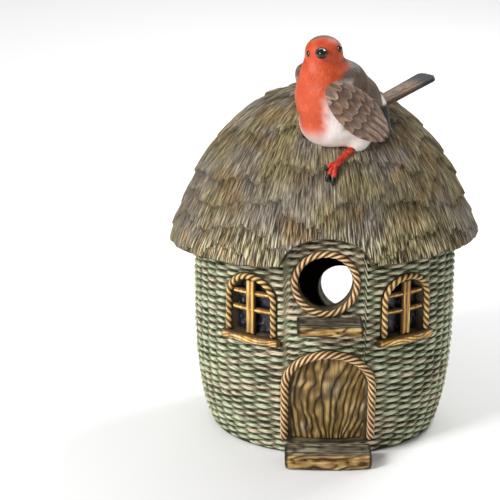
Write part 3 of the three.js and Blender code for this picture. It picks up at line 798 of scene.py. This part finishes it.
def wall_board(name, half_width, z, relief, face, back, turn, lift=0.0011):
    """A board bent to the wall. Rows climb in z with a half width for each; round a row the
    points run across the face, from edge to edge, and return along the back. The face is lifted
    by its relief, and eased off at the edges."""
    share = np.linspace(-1.0, 1.0, relief.shape[1])[None, :]
    across, level = face_grid(half_width, z, relief.shape[1])
    edge = smooth(0.0, EASED_EDGE, half_width[:, None] * (1 - np.abs(share)) + 1e-5)
    edge = edge * smooth(0.0, EASED_EDGE, np.minimum(z - z[0], z[-1] - z)[:, None] + 1e-5)
    front = on_wall(across, level, face + (relief - 1.0) * lift * 0.8 - 0.0006 * (1 - edge), turn)
    rear = on_wall(across, level, back, turn)[:, ::-1]
    points, height = capped(np.concatenate([front, rear], 1),
                            np.concatenate([relief * edge, np.zeros_like(relief)], 1))
    run = np.concatenate([z[:1], z, z[-1:]])
    middle = across[len(z) // 2]
    return grid_piece(name, points, run, np.concatenate([middle, middle[::-1], middle[:1]]), {"height": height})


def timber_paint(name, groove, middle, crown):
    """Dark wash in the carved grooves, ochre brown on the ridges and a paler dry brush on top,
    streaked along the grain and mottled with grey."""
    paint = Paint(name, 0.62, 0.28)
    streak = paint.noise(1.0, 4.0, (500.0, 500.0, 60.0))
    light = paint.lit("height", streak, (0.25, 0.75), 0.55, 0.32)
    colour = paint.ramp(light, [
        (0.06, groove), (0.42, halfway(groove, middle, 0.45)), (0.72, middle), (1.0, crown)])
    grey = paint.ramp(light, [(0.1, (34, 31, 28)), (0.6, (104, 98, 88)), (1.0, (170, 164, 150))])
    weathered = paint.times(paint.spread(paint.noise(70.0, 3.0), 0.48, 0.75), 0.6)
    colour = paint.mix(weathered, colour, grey)
    return paint.finish(colour, streak, 0.0004, 0.6)


door_z = arch_levels(DOOR, 120, 0.004, 22)
door_half = arch_half(DOOR, door_z)
door_across, door_level = face_grid(door_half, door_z, 150)
# The grain bows out on the left, leans on the right, and parts round a knot.
bowed = 0.0045 * np.sin(np.pi * (door_level - 0.010) / 0.050) * smooth(0.004, -0.012, door_across)
leaning = 0.30 * (door_level - 0.036) * smooth(-0.002, 0.012, door_across)
knot_x, knot_z = (door_across + 0.0045) / 0.0065, (door_level - 0.0475) / 0.0095
knot = 0.0034 * np.sign(knot_x) * np.exp(-knot_x ** 2 - knot_z ** 2)
door_grain = carved_grain(door_across + bowed - leaning + knot, door_level, 0.0036, 0.0034, 3.0)
door_leaf = wall_board("carved_door", door_half, door_z, door_grain, DOOR_FACE, DOOR_BACK, 0.0, 0.0016)
door_leaf.data.materials.append(timber_paint("door_paint", (24, 17, 9), (122, 96, 50), (176, 148, 94)))
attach(door_leaf, "house")
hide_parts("door_leaf")

# ------------------------------------------------------------------ perch and door step
# Two cast planks glued to the wall with the same carved oak grain: a perch across the front
# under the entrance, and a deeper step on the ground at the door with a bowed front edge.
PLANK_BACK, PLANK_STEP, PLANK_ROUND = -0.075, 0.0004, 0.0016


def plank(name, node, width, front, bottom, thick, bow, seed):
    """A plank whose section is a squared ellipse, |y|^7 + |z|^7 = 1, run from end to end, with
    its front edge bowed by the square of the distance from the middle. Grain runs along the
    top and slants across the front, and the ends close in a quarter round."""
    rows, columns = int(width / PLANK_STEP), 120
    share = np.linspace(-1.0, 1.0, rows)[:, None]
    x = share * width / 2
    end = np.minimum(1.0 - np.abs(share), 0.0) + (1.0 - np.abs(share)) * width / 2
    from_edge = 1.0 - np.clip(end / PLANK_ROUND, 0, 1)
    shrink = PLANK_ROUND * (1.0 - half_circle(from_edge))
    angle = once_round(columns)
    cos, sin = np.cos(angle), np.sin(angle)
    y_front = -(front - bow * share ** 2)
    y_middle, y_half = (y_front + PLANK_BACK) / 2, (PLANK_BACK - y_front) / 2
    z_middle, z_half = bottom + thick / 2, thick / 2
    flat = 2.0 / 7.0
    side = np.sign(cos) * np.abs(cos) ** flat
    rise = np.sign(sin) * np.abs(sin) ** flat
    out_y, out_z = -np.abs(side) ** 6 * (side < 0), np.abs(rise) ** 6 * np.sign(rise)
    y = y_middle + (y_half - shrink) * side
    z = z_middle + (z_half - shrink) * rise
    facing = np.abs(out_y)
    slanted = carved_grain(z - bottom - 0.16 * x, x + 0 * z, 0.0036, 0.0046, seed)
    lengthwise = carved_grain(y, x + 0 * y, 0.0034, 0.0022, seed + 4.0)
    grain = slanted * facing + lengthwise * (1 - facing)
    ease = np.clip(end / 0.002, 0.0, 1.0)
    y = y + out_y * (grain - 1.0) * 0.0011 * ease
    z = z + out_z * (grain - 1.0) * 0.0007 * ease * (rise > 0)
    points, height, top = capped(np.stack([x + 0 * y, y, np.maximum(z, bottom)], -1), grain * ease,
                                 np.clip(np.broadcast_to(np.abs(out_z), grain.shape), 0, 1))
    run = np.concatenate([x[:1, 0], x[:, 0], x[-1:, 0]])
    piece = grid_piece(name, points, run, np.linspace(0.0, 0.08, columns + 1), {"height": height, "top": top})
    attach(piece, "house")
    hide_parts(node)
    return piece


def plank_paint(name, middle, crown):
    """Ochre brown carved grain on the front edge, weathered grey-brown on the top."""
    paint = Paint(name, 0.66, 0.25)
    streak = paint.noise(1.0, 4.0, (90.0, 620.0, 620.0))
    light = paint.lit("height", streak, (0.25, 0.75), 0.6, 0.34)
    front = paint.ramp(light, [(0.06, (26, 18, 10)), (0.4, (84, 62, 34)), (0.72, middle), (1.0, crown)])
    grey = paint.ramp(light, [(0.06, (30, 27, 22)), (0.45, (76, 70, 58)), (0.75, (118, 110, 92)),
                              (1.0, (172, 164, 142))])
    return paint.finish(paint.mix(paint.layer("top"), front, grey), streak, 0.0004, 0.6)


perch = plank("perch_plank", "perch_ledge", 0.0388, 0.1014, 0.0854, 0.0062, 0.0008, 5.0)
perch.data.materials.append(plank_paint("perch_paint", (150, 116, 62), (206, 176, 120)))
step = plank("step_plank", "door_step", 0.052, 0.097, 0.0, 0.010, 0.0025, 8.0)
step.data.materials.append(plank_paint("step_paint", (152, 118, 66), (204, 176, 122)))

# ------------------------------------------------------------------ windows
# Each window is a dark painted pane at the back of its pocket, two thin cross bars, a double
# upright in front of them, and a sill below, all cast and painted like golden oak.
BAR_HEIGHTS = {"lower": 0.0916, "upper": 0.1019}
BAR_THICK, MULLION_WIDE = 0.0028, 0.0056
SILL_LONG, SILL_TOP, SILL_DEEP = 0.0415, 0.0762, 0.0044
PANE_FACE, PANE_BACK = -0.0051, -0.0067
UPRIGHT_FACE, UPRIGHT_BACK = 0.0006, -0.0025
RAIL_FACE, RAIL_BACK = -0.0004, -0.0040
SILL_FACE, SILL_BACK = 0.0042, -0.0012


def pane_paint():
    """Near-black blue gloss, with pale specks on its small bumps as painted highlights."""
    paint = Paint("pane_paint", 0.3, 0.45)
    bumps = paint.noise(420.0, 3.0)
    # The pale top stops are painted highlights: glints of the glossy pane put into its colour.
    colour = paint.ramp(bumps, [(0.0, (10, 11, 18)), (0.56, (20, 21, 30)), (0.66, (70, 70, 78)),
                                (0.82, (170, 166, 160))])
    return paint.finish(colour, bumps, 0.0003, 0.5)


gold_timber = timber_paint("frame_paint", (96, 68, 32), (222, 172, 92), (248, 220, 156))
pane_black = pane_paint()
for side, turn in WINDOW_TURNS.items():
    pane_z = arch_levels(WINDOW, 60, 0.003, 14)
    pane_half = arch_half(WINDOW, pane_z)
    across, level = face_grid(pane_half, pane_z, 50)
    dimples = 0.5 + looked_up(level / 0.003, across / 0.003 + 40.0, 128)
    pane = wall_board(f"{side}_window_glass", pane_half, pane_z, dimples, PANE_FACE, PANE_BACK, turn, 0.0005)
    pane.data.materials.append(pane_black)
    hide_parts(f"{side}_window_pane")
    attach(pane, "house")

    half = np.full(100, MULLION_WIDE / 2)
    board_z = np.linspace(WINDOW["bottom"], WINDOW["top"] - 0.0008, 100)
    across, level = face_grid(half, board_z, 30)
    doubled = np.abs(np.sin(np.pi * across / (MULLION_WIDE * 0.98))) ** 0.6
    grain = doubled * (0.55 + 0.45 * carved_grain(across, level, 0.0016, 0.0011, 9.0 + turn))
    pieces = {"mullion": wall_board(
        f"{side}_window_upright", half, board_z, grain, UPRIGHT_FACE, UPRIGHT_BACK, turn, 0.0016)}
    for which, height in BAR_HEIGHTS.items():
        half = np.full(16, arch_half(WINDOW, height))
        board_z = np.linspace(height - BAR_THICK / 2, height + BAR_THICK / 2, 16)
        across, level = face_grid(half, board_z, 90)
        grain = carved_grain(level - height + 0.0008, across, 0.0016, 0.0009, 2.0 + height * 100)
        pieces[which + "_bar"] = wall_board(
            f"{side}_window_{which}_rail", half, board_z, grain, RAIL_FACE, RAIL_BACK, turn)
    half = np.full(30, SILL_LONG / 2)
    board_z = np.linspace(SILL_TOP - SILL_DEEP, SILL_TOP, 30)
    across, level = face_grid(half, board_z, 130)
    waved = level - SILL_TOP + 0.0015 * np.sin(across / 0.005)
    grain = carved_grain(waved, across, 0.0018, 0.0014, 6.0 + turn)
    pieces["sill"] = wall_board(f"{side}_window_ledge", half, board_z, grain, SILL_FACE, SILL_BACK, turn)
    for node, piece in pieces.items():
        piece.data.materials.append(gold_timber)
        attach(piece, "house")
        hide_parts(f"{side}_window_{node}")

# ------------------------------------------------------------------ clean-out port and floor
# Plain castings: a collar glued round the port, a swivel cover on one screw, and a round plate
# let into the bottom. They keep the design's own shapes and take a speckled dark paint.


def plain_paint():
    """Dark brown-grey paint with fine speckle, dulled and a little rough."""
    paint = Paint("plain_paint", 0.75, 0.2)
    grain = paint.noise(260.0, 4.0)
    speckle = paint.plus(paint.times(grain, 0.6), paint.times(paint.noise(34.0, 2.0), 0.4))
    colour = paint.ramp(speckle, [(0.30, (50, 45, 34)), (0.5, (88, 82, 64)), (0.68, (132, 126, 102))])
    return paint.finish(colour, grain, 0.0003, 0.5)


def steel_paint():
    """Plain steel with fine turned scratches and a dulled patchy shine."""
    paint = Paint("steel_paint", 0.35, 0.5)
    paint.surface.inputs["Metallic"].default_value = 1.0
    scratch = paint.noise(1.0, 3.0, (3000.0, 3000.0, 300.0))
    colour = paint.ramp(scratch, [(0.3, (120, 120, 116)), (0.7, (176, 176, 172))])
    return paint.finish(colour, scratch, 0.0001, 0.3, paint.spread(scratch, -0.6, 1.4))


def repaint(node, material):
    """Gives a node of the design a new material in place of its plain one."""
    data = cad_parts[node].data
    data.materials.clear()
    data.materials.append(material)


speckled, steel = plain_paint(), steel_paint()
for node in ("floor_plate", "rear_port_collar", "rear_cover"):
    repaint(node, speckled)
for node in ("cover_screw", "robin_fixing_pin"):
    repaint(node, steel)

# ------------------------------------------------------------------ robin's body
# A plump robin cast in resin and pinned to the roof: one body casting with the head turned to
# look out over the entrance. Painted orange-red on face and breast, white below, brown behind,
# and near-black low on the rump under the tail as painted shadow.
ROBIN_AT = np.array([0.005, -0.053, 0.2145])
ROBIN_TURN = math.radians(-140.7)
HEAD_AT = np.array([0.0135, 0.0018, 0.0330])
HEAD_TURN = math.radians(50.7)
HEAD_RADIUS = 0.0108
BODY_CORE, BODY_REACH, HALVINGS = np.array([0.006, 0.0, 0.008]), 0.07, 22
DOWN_DEEP = 0.00022
MERGE_SOFT = 0.0016
BODY_EGGS = [  # centre, half sizes, nose-up pitch
    ((0.0, 0.0, 0.0), (0.027, 0.020, 0.021), 35.0),
    ((0.009, 0.0, 0.008), (0.018, 0.0185, 0.020), 20.0),
    ((0.0125, 0.0005, 0.021), (0.0122, 0.0122, 0.0138), 80.0),
    (tuple(HEAD_AT), (HEAD_RADIUS, HEAD_RADIUS, 0.0092), 0.0),
    ((-0.010, 0.002, 0.003), (0.0168, 0.0135, 0.0138), 0.0),
    ((-0.001, 0.003, 0.0135), (0.0142, 0.0125, 0.0125), 0.0),
    ((-0.021, 0.0, -0.004), (0.015, 0.011, 0.010), 10.0),
    # A bulge low on the rump that carries the painted shadow under the tail and behind the wing tips.
    ((-0.025, 0.006, -0.011), (0.008, 0.008, 0.013), -20.0),
    ((-0.007, 0.011, -0.0185), (0.008, 0.0065, 0.0092), 30.0),
    ((0.004, -0.002, -0.011), (0.0185, 0.018, 0.0140), 0.0),
]


def in_place(points):
    """From the robin's own frame, where it faces +X, into the house's: turned about the upright
    through its middle, then moved."""
    c, s = math.cos(ROBIN_TURN), math.sin(ROBIN_TURN)
    x, y, z = points[..., 0], points[..., 1], points[..., 2]
    return np.stack([x * c - y * s, x * s + y * c, z], -1) + ROBIN_AT


def plumpness(points):
    """Depth inside the merged eggs: for each egg, one less the length of the point in half
    sizes, times the least half size; then a soft maximum, the log of a sum of exponentials."""
    total = np.zeros(points.shape[:-1])
    for centre, halves, pitch in BODY_EGGS:
        c, s = math.cos(math.radians(pitch)), math.sin(math.radians(pitch))
        from_centre = points - np.array(centre)
        length = from_centre[..., 0] * c + from_centre[..., 2] * s
        height = from_centre[..., 2] * c - from_centre[..., 0] * s
        sizes = np.stack([length / halves[0], from_centre[..., 1] / halves[1], height / halves[2]])
        reach = np.sqrt((sizes ** 2).sum(0))
        total += np.exp(np.clip((1.0 - reach) * min(halves) / MERGE_SOFT, -60.0, 60.0))
    return np.log(total) * MERGE_SOFT


def feathered(across, along, seed):
    """Short soft feather tips: slow random ripples drawn out along the way they lie."""
    broad = looked_up(along / 0.0030 + seed, across / 0.0011, 256)
    return broad + 0.5 * looked_up(along / 0.0011, across / 0.0006, 512)


body_rows, body_cols = 230, 256
polar = np.pi * np.linspace(0.0, 1.0, body_rows)[:, None] ** 1.12
azimuth = np.linspace(-np.pi, np.pi, body_cols, endpoint=False)[None, :]
lean = math.radians(14.0)
ray = np.stack([np.sin(polar) * np.cos(azimuth), np.sin(polar) * np.sin(azimuth),
                np.cos(polar) + 0 * azimuth], -1)
ray = np.stack([ray[..., 0] * math.cos(lean) + ray[..., 2] * math.sin(lean), ray[..., 1],
                ray[..., 2] * math.cos(lean) - ray[..., 0] * math.sin(lean)], -1)
# Each ray is halved again and again to find where it leaves the body.
near_end, far_end = np.zeros(ray.shape[:-1]), np.full(ray.shape[:-1], BODY_REACH)
for _ in range(HALVINGS):
    middle = (near_end + far_end) / 2
    inside = plumpness(BODY_CORE + ray * middle[..., None]) > 0
    near_end, far_end = np.where(inside, middle, near_end), np.where(inside, far_end, middle)
down = feathered(azimuth * 0.02 + 0 * polar, polar * 0.03 + 0 * azimuth, 2.0) * np.sin(polar)
body_local = BODY_CORE + ray * (near_end + DOWN_DEEP * down)[..., None]

# Where each colour lies, by millimetres in the robin's own frame and by degrees round from
# the middle of its breast; the face is red as far round as the head looks.
bx, by, bz = (body_local[..., axis] * 1000 for axis in range(3))
round_body = np.degrees(np.abs(np.arctan2(by, bx - 1.0)))
red_edge = np.interp(bz, [-26, -18, -12, 0, 8, 15, 22, 30], [12, 22, 29, 33, 34, 44, 62, 150])
wobble = 5.0 * looked_up(bz / 2.2 + 40, by / 2.2 + 64, 128)
red_body = smooth(14.0, -12.0, round_body - red_edge + wobble) * smooth(-25.0, -9.0, bz + wobble * 0.2)
look = np.array([math.cos(HEAD_TURN), math.sin(HEAD_TURN)])
from_head = (body_local - HEAD_AT) / HEAD_RADIUS
facing = from_head[..., 0] * look[0] + from_head[..., 1] * look[1]
red_face = smooth(-0.02, 0.22, facing - np.maximum(from_head[..., 2] - 0.55, 0.0) + 0.01 * wobble)
on_head = smooth(23.0, 29.0, bz)
red = red_body * (1 - on_head) + red_face * on_head
white = smooth(40.0, 24.0, round_body - red_edge + wobble) * smooth(20.0, 13.0, bz)
white = np.maximum(white, smooth(-9.0, -14.0, bz) * (bx > -17)) * (1 - on_head)
white = np.maximum(white, smooth(-22.0, -25.0, bx) * smooth(-3.0, -1.0, bz) * smooth(6.0, 2.0, bz))
# Painted shadow: near-black low on the rump behind the wing tips and under the tail, where the wings and tail
# shade the body.
painted_shadow = smooth(-17.5, -20.0, bx) * smooth(-1.0, -3.5, bz)
body_faces, corner_i, corner_j = grid_faces(body_rows, body_cols)
body_uv = np.stack([corner_j / body_cols * 0.12, polar[corner_i, 0] * 0.03], -1)
robin = build_mesh("robin_casting", in_place(body_local), body_faces, body_uv,
                   {"down": 0.5 + down, "red": red, "white": white, "painted_shadow": painted_shadow})


def robin_paint():
    """Four colours, each mottled along the feathers, faded into each other: three airbrushed plumage colours,
    and a near-black painted shadow low on the rump under the tail.
    """
    paint = Paint("robin_paint", 0.5, 0.35)
    plume = paint.noise(1.0, 4.0, (1500.0, 420.0, 1.0), "UV")
    mottle = paint.plus(paint.times(plume, 0.55), paint.times(paint.noise(150.0, 3.0), 0.45))
    ruddy = paint.ramp(mottle, [(0.25, (152, 42, 18)), (0.5, (190, 71, 33)), (0.75, (216, 108, 66))])
    snowy = paint.ramp(mottle, [(0.25, (206, 186, 176)), (0.5, (226, 214, 208)), (0.75, (242, 236, 232))])
    brown = paint.ramp(mottle, [(0.25, (52, 40, 32)), (0.5, (88, 70, 56)), (0.75, (124, 102, 84))])
    # Near-black for the painted shadow under the tail.
    shadow_colour = paint.ramp(mottle, [(0.3, (14, 14, 16)), (0.7, (36, 35, 36))])
    rough_edge = paint.times(paint.less(mottle, 0.5), 0.7)
    colour = paint.mix(paint.layer("white"), brown, snowy)
    red_share = paint.spread(paint.plus(paint.layer("red"), rough_edge), 0.02, 0.98)
    colour = paint.mix(red_share, colour, ruddy)
    colour = paint.mix(paint.layer("painted_shadow"), colour, shadow_colour)
    return paint.finish(colour, plume, 0.0003, 0.5)


robin.data.materials.append(robin_paint())
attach(robin, "roof")
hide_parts("robin_body")

# ------------------------------------------------------------------ robin's wings and tail
# Folded wings laid on the flanks with rows of rounded coverts over long flight feathers, and a
# narrow tail cocked up behind. Brown, with dark edges to the feathers and near-black tips.
WING_AT = {1: np.array([-0.0006, 0.0172, -0.0030]), -1: np.array([-0.0056, -0.0152, 0.0030])}
WING_LONG, WING_DEEP, WING_THICK, WING_PITCH = 0.031, 0.0122, 0.0060, math.radians(37.0)
TAIL_AT, TAIL_LONG, TAIL_SLOPE = np.array([-0.027, 0.0, -0.0055]), 0.0485, math.radians(16.0)
SIDEWAYS = np.array([0.0, 1.0, 0.0])


def wing(name, node, sign):
    """A flattened egg along the wing, more pointed at the tip. Coverts are a sawtooth along it,
    its steps scalloped by |sin| across; beyond them flight feathers are |sin| across alone."""
    rows, cols = 210, 150
    along = -np.cos(np.linspace(0.0, np.pi, rows))[:, None]
    turn = once_round(cols)
    pointed = np.clip(1 - np.abs(along) ** 1.9, 0, 1) ** 0.72
    width = np.where(along > 0, half_circle(along), pointed)
    across = np.cos(turn) * width
    ruffle = looked_up(along * 6 + 11, across * 6 + 64, 128)
    covert_step = along * 3.6 + 0.36 * np.abs(np.sin(np.pi * (across * 2.3 + 0.35 * ruffle))) + 0.30 * ruffle
    covert = 1 - (covert_step - np.floor(covert_step))
    flight = np.sqrt(np.abs(np.sin(np.pi * (across * 3.4 + 0.5 * along))))
    outer = smooth(-0.05, -0.32, along + 0.25 * np.abs(across))
    height = (0.14 + 0.76 * covert) * (1 - outer) + flight * outer
    barbs = looked_up(along * 9 + 3 * across, across * 26 + 64, 128)
    height = np.clip(height * (0.80 + 0.7 * barbs), 0, 1)
    long_way = np.array([math.cos(WING_PITCH), 0.0, math.sin(WING_PITCH)])
    deep_way = np.array([-math.sin(WING_PITCH), 0.0, math.cos(WING_PITCH)])
    outward = np.sin(turn) * width
    lifted = WING_THICK * outward + 0.0006 * (height - 0.5) * (outward > 0) * np.minimum(width * 3, 1)
    local = (WING_AT[sign] + WING_LONG * along[..., None] * long_way
             + WING_DEEP * across[..., None] * deep_way + sign * lifted[..., None] * SIDEWAYS)
    tip = smooth(-0.74, -0.98, along + 0.05 * barbs)
    flow = np.linspace(0.0, 0.058, rows)
    piece = grid_piece(name, in_place(local), flow, np.linspace(0, 0.09, cols + 1),
                       {"height": height, "tip": tip + 0 * height})
    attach(piece, "roof")
    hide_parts(node)
    return piece


def plumage_paint(name, middle, crown, tip_colour):
    """Dark wash between the feathers, brown over them, pale dry-brushed edges, and dark tips."""
    paint = Paint(name, 0.6, 0.3)
    barb = paint.noise(1.0, 4.0, (2200.0, 260.0, 1.0), "UV")
    light = paint.lit("height", barb, (0.25, 0.75), 0.45, 0.16)
    colour = paint.ramp(light, [(0.0, (44, 34, 30)), (0.28, (100, 80, 68)), (0.62, middle), (0.98, crown)])
    warm = paint.mix(0.5, colour, paint.ramp(light, [(0.1, (70, 44, 28)), (0.9, (176, 132, 88))]))
    colour = paint.mix(paint.spread(paint.noise(90.0, 2.0), 0.5, 0.7), colour, warm)
    colour = paint.mix(paint.layer("tip"), colour, linear(*tip_colour))
    return paint.finish(colour, barb, 0.0003, 0.6)


wing_brown = plumage_paint("wing_paint", (138, 112, 96), (184, 162, 144), (20, 19, 20))
for side, sign in (("left", 1), ("right", -1)):
    wing(f"folded_{side}_wing", f"robin_{side}_wing", sign).data.materials.append(wing_brown)

tail_run = np.linspace(0.0, 1.0, 120)[:, None]
tail_turn = once_round(72)
tail_end = np.clip((tail_run - 0.93) / 0.07, 0, 1)
tail_half = (0.0056 + 0.0026 * tail_run) * np.sqrt(1 - 0.5 * tail_end ** 2)
tail_side = np.sign(np.cos(tail_turn)) * np.abs(np.cos(tail_turn)) ** 0.45
tail_rise = np.sign(np.sin(tail_turn)) * np.abs(np.sin(tail_turn)) ** 0.6
quills = np.sqrt(np.abs(np.sin(np.pi * (tail_side * 2.5 + 0.5)))) + 0 * tail_run
barbs = looked_up(tail_run * 14 + tail_side * 2, tail_side * 20 + 64, 128)
quills = np.clip(quills * (0.85 + 0.5 * barbs), 0, 1)
tail_way = np.array([-math.cos(TAIL_SLOPE), 0.0, math.sin(TAIL_SLOPE)])
tail_up = np.array([math.sin(TAIL_SLOPE), 0.0, math.cos(TAIL_SLOPE)])
tail_thick = (0.0016 + 0.0007 * (1 - tail_run)) * tail_rise + 0.0006 * (quills - 0.5) * (tail_rise > 0)
tail_local = (TAIL_AT + (TAIL_LONG * tail_run)[..., None] * tail_way
              + (tail_half * tail_side)[..., None] * SIDEWAYS
              + tail_thick[..., None] * tail_up)
tail_points, tail_height, tail_tip = capped(
    in_place(tail_local), quills, smooth(0.56, 0.90, tail_run + 0.12 * barbs) + 0 * quills)
tail = grid_piece("cocked_tail", tail_points, np.linspace(0, 0.049, 122), np.linspace(0, 0.03, 73),
                  {"height": tail_height, "tip": tail_tip})
tail.data.materials.append(plumage_paint("tail_paint", (110, 88, 72), (158, 138, 118), (44, 48, 54)))
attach(tail, "roof")
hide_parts("robin_tail")

# ------------------------------------------------------------------ robin's beak and eyes
# A short blunt beak and two beads for eyes, all glossy black, set in the painted face.


def on_head_frame(forward, left, up):
    """A point forward, left and up from the middle of the head, with the head's turn applied."""
    c, s = math.cos(HEAD_TURN), math.sin(HEAD_TURN)
    from_middle = np.stack([forward * c - left * s, forward * s + left * c, up + 0 * forward], -1)
    return in_place(HEAD_AT + from_middle)


def gloss_paint():
    """Near-black enamel with a faint brown mottle under a wet shine."""
    paint = Paint("gloss_black_paint", 0.08, 0.6)
    speck = paint.noise(300.0, 2.0)
    colour = paint.ramp(speck, [(0.35, (6, 6, 8)), (0.75, (30, 24, 22))])
    return paint.finish(colour, speck, 0.00004, 0.2)


enamel = gloss_paint()


def bead(name, node, centre, halves, blunt=1.0):
    """A rounded form about the head's forward axis: half sizes forward, across and up, its
    section shrinking as sqrt(1 - forward^2), and drawn to a blunter or sharper end."""
    polar = np.linspace(0.0, np.pi, 40)[:, None]
    turn = once_round(48)
    girth = np.sin(polar) ** blunt
    points = on_head_frame(centre[0] + halves[0] * np.cos(polar) + 0 * turn,
                           centre[1] + halves[1] * girth * np.cos(turn),
                           centre[2] + halves[2] * girth * np.sin(turn))
    piece = grid_piece(name, points, polar[:, 0] * 0.002, np.linspace(0, 0.012, 49), {})
    piece.data.materials.append(enamel)
    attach(piece, "roof")
    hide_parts(node)


bead("robin_bill", "robin_beak", (0.0112, -0.0018, 0.0009), (0.0056, 0.0036, 0.0033), 0.9)
bead("robin_left_bead", "robin_left_eye", (0.0052, 0.0086, 0.0024), (0.0020, 0.0017, 0.0021))
bead("robin_right_bead", "robin_right_eye", (0.0050, -0.0086, -0.0006), (0.0020, 0.0017, 0.0021))

# ------------------------------------------------------------------ robin's legs
# Short stout legs of cast resin standing on the straw, red-orange, each with three toes in
# front and one behind that end in black claws.
LEGS = {  # the hip in the robin's own frame, and where on the roof the foot stands
    "left": ((-0.006, 0.011, -0.022), (0.0032, -0.070)),
    "right": ((0.0, -0.011, -0.016), (-0.0095, -0.0505)),
}
TOES = ((-32.0, 0.0066), (0.0, 0.0076), (32.0, 0.0066), (180.0, 0.0055))  # fan in degrees, length


def tapered(line, radii):
    """Rings round a line of points, their radii easing along it, as rows for a capped tube."""
    tangent = unit(np.gradient(line, axis=0))
    side = unit(np.cross(tangent, np.array([0.3, 0.2, 1.0])))
    other = np.cross(tangent, side)
    turn = once_round(20)[..., None]
    ring = np.cos(turn) * side[:, None] + np.sin(turn) * other[:, None]
    return line[:, None] + radii[:, None, None] * ring


def on_thatch(x, y, above):
    """The point over the roof's straw at a place, by the roof's own outline."""
    return np.array([x, y, np.interp(math.hypot(x, y), roof_line[:, 0], roof_line[:, 1]) + above])


def leg_paint():
    """Red-orange with darker rings of scale, and glossy black on the claws."""
    paint = Paint("leg_paint", 0.38, 0.4)
    scale = paint.noise(700.0, 3.0)
    colour = paint.ramp(scale, [(0.3, (120, 22, 8)), (0.5, (178, 44, 18)), (0.72, (222, 92, 54))])
    return paint.finish(paint.mix(paint.layer("claw"), colour, linear(10, 9, 10)), scale, 0.0003, 0.5)


leg_red = leg_paint()
share = np.linspace(0.0, 1.0, 26)
for side, (thigh, foot) in LEGS.items():
    hip = in_place(np.array(thigh))
    ankle = on_thatch(*foot, 0.0034)
    tubes = [(hip + (ankle - hip) * share[:, None], 0.0024 - 0.0004 * share, 0 * share)]
    for fan, length in TOES:
        way = ROBIN_TURN + math.radians(fan)
        tip = on_thatch(foot[0] + length * math.cos(way), foot[1] + length * math.sin(way), 0.0016)
        line = ankle + (tip - ankle) * share[:, None]
        line[:, 2] += 0.0012 * np.sin(np.pi * share)
        radii = 0.0018 - 0.0003 * share - 0.0009 * smooth(0.82, 1.0, share)
        tubes.append((line, radii, smooth(0.66, 0.72, share)))
    verts, faces, claws = [], [], []
    for line, radii, claw in tubes:
        scaly = radii * (1 + 0.06 * np.sin(share * 60))
        rings, claw_rows = capped(tapered(line, scaly), np.repeat(claw[:, None], 20, 1))
        faces.append(grid_faces(*rings.shape[:2])[0] + sum(len(v) for v in verts))
        verts.append(rings.reshape(-1, 3))
        claws.append(claw_rows.ravel())
    leg = build_mesh(f"{side}_leg_and_toes", np.vstack(verts), np.vstack(faces), None,
                     {"claw": np.concatenate(claws)})
    leg.data.materials.append(leg_red)
    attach(leg, "roof")
    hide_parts(f"robin_{side}_leg")
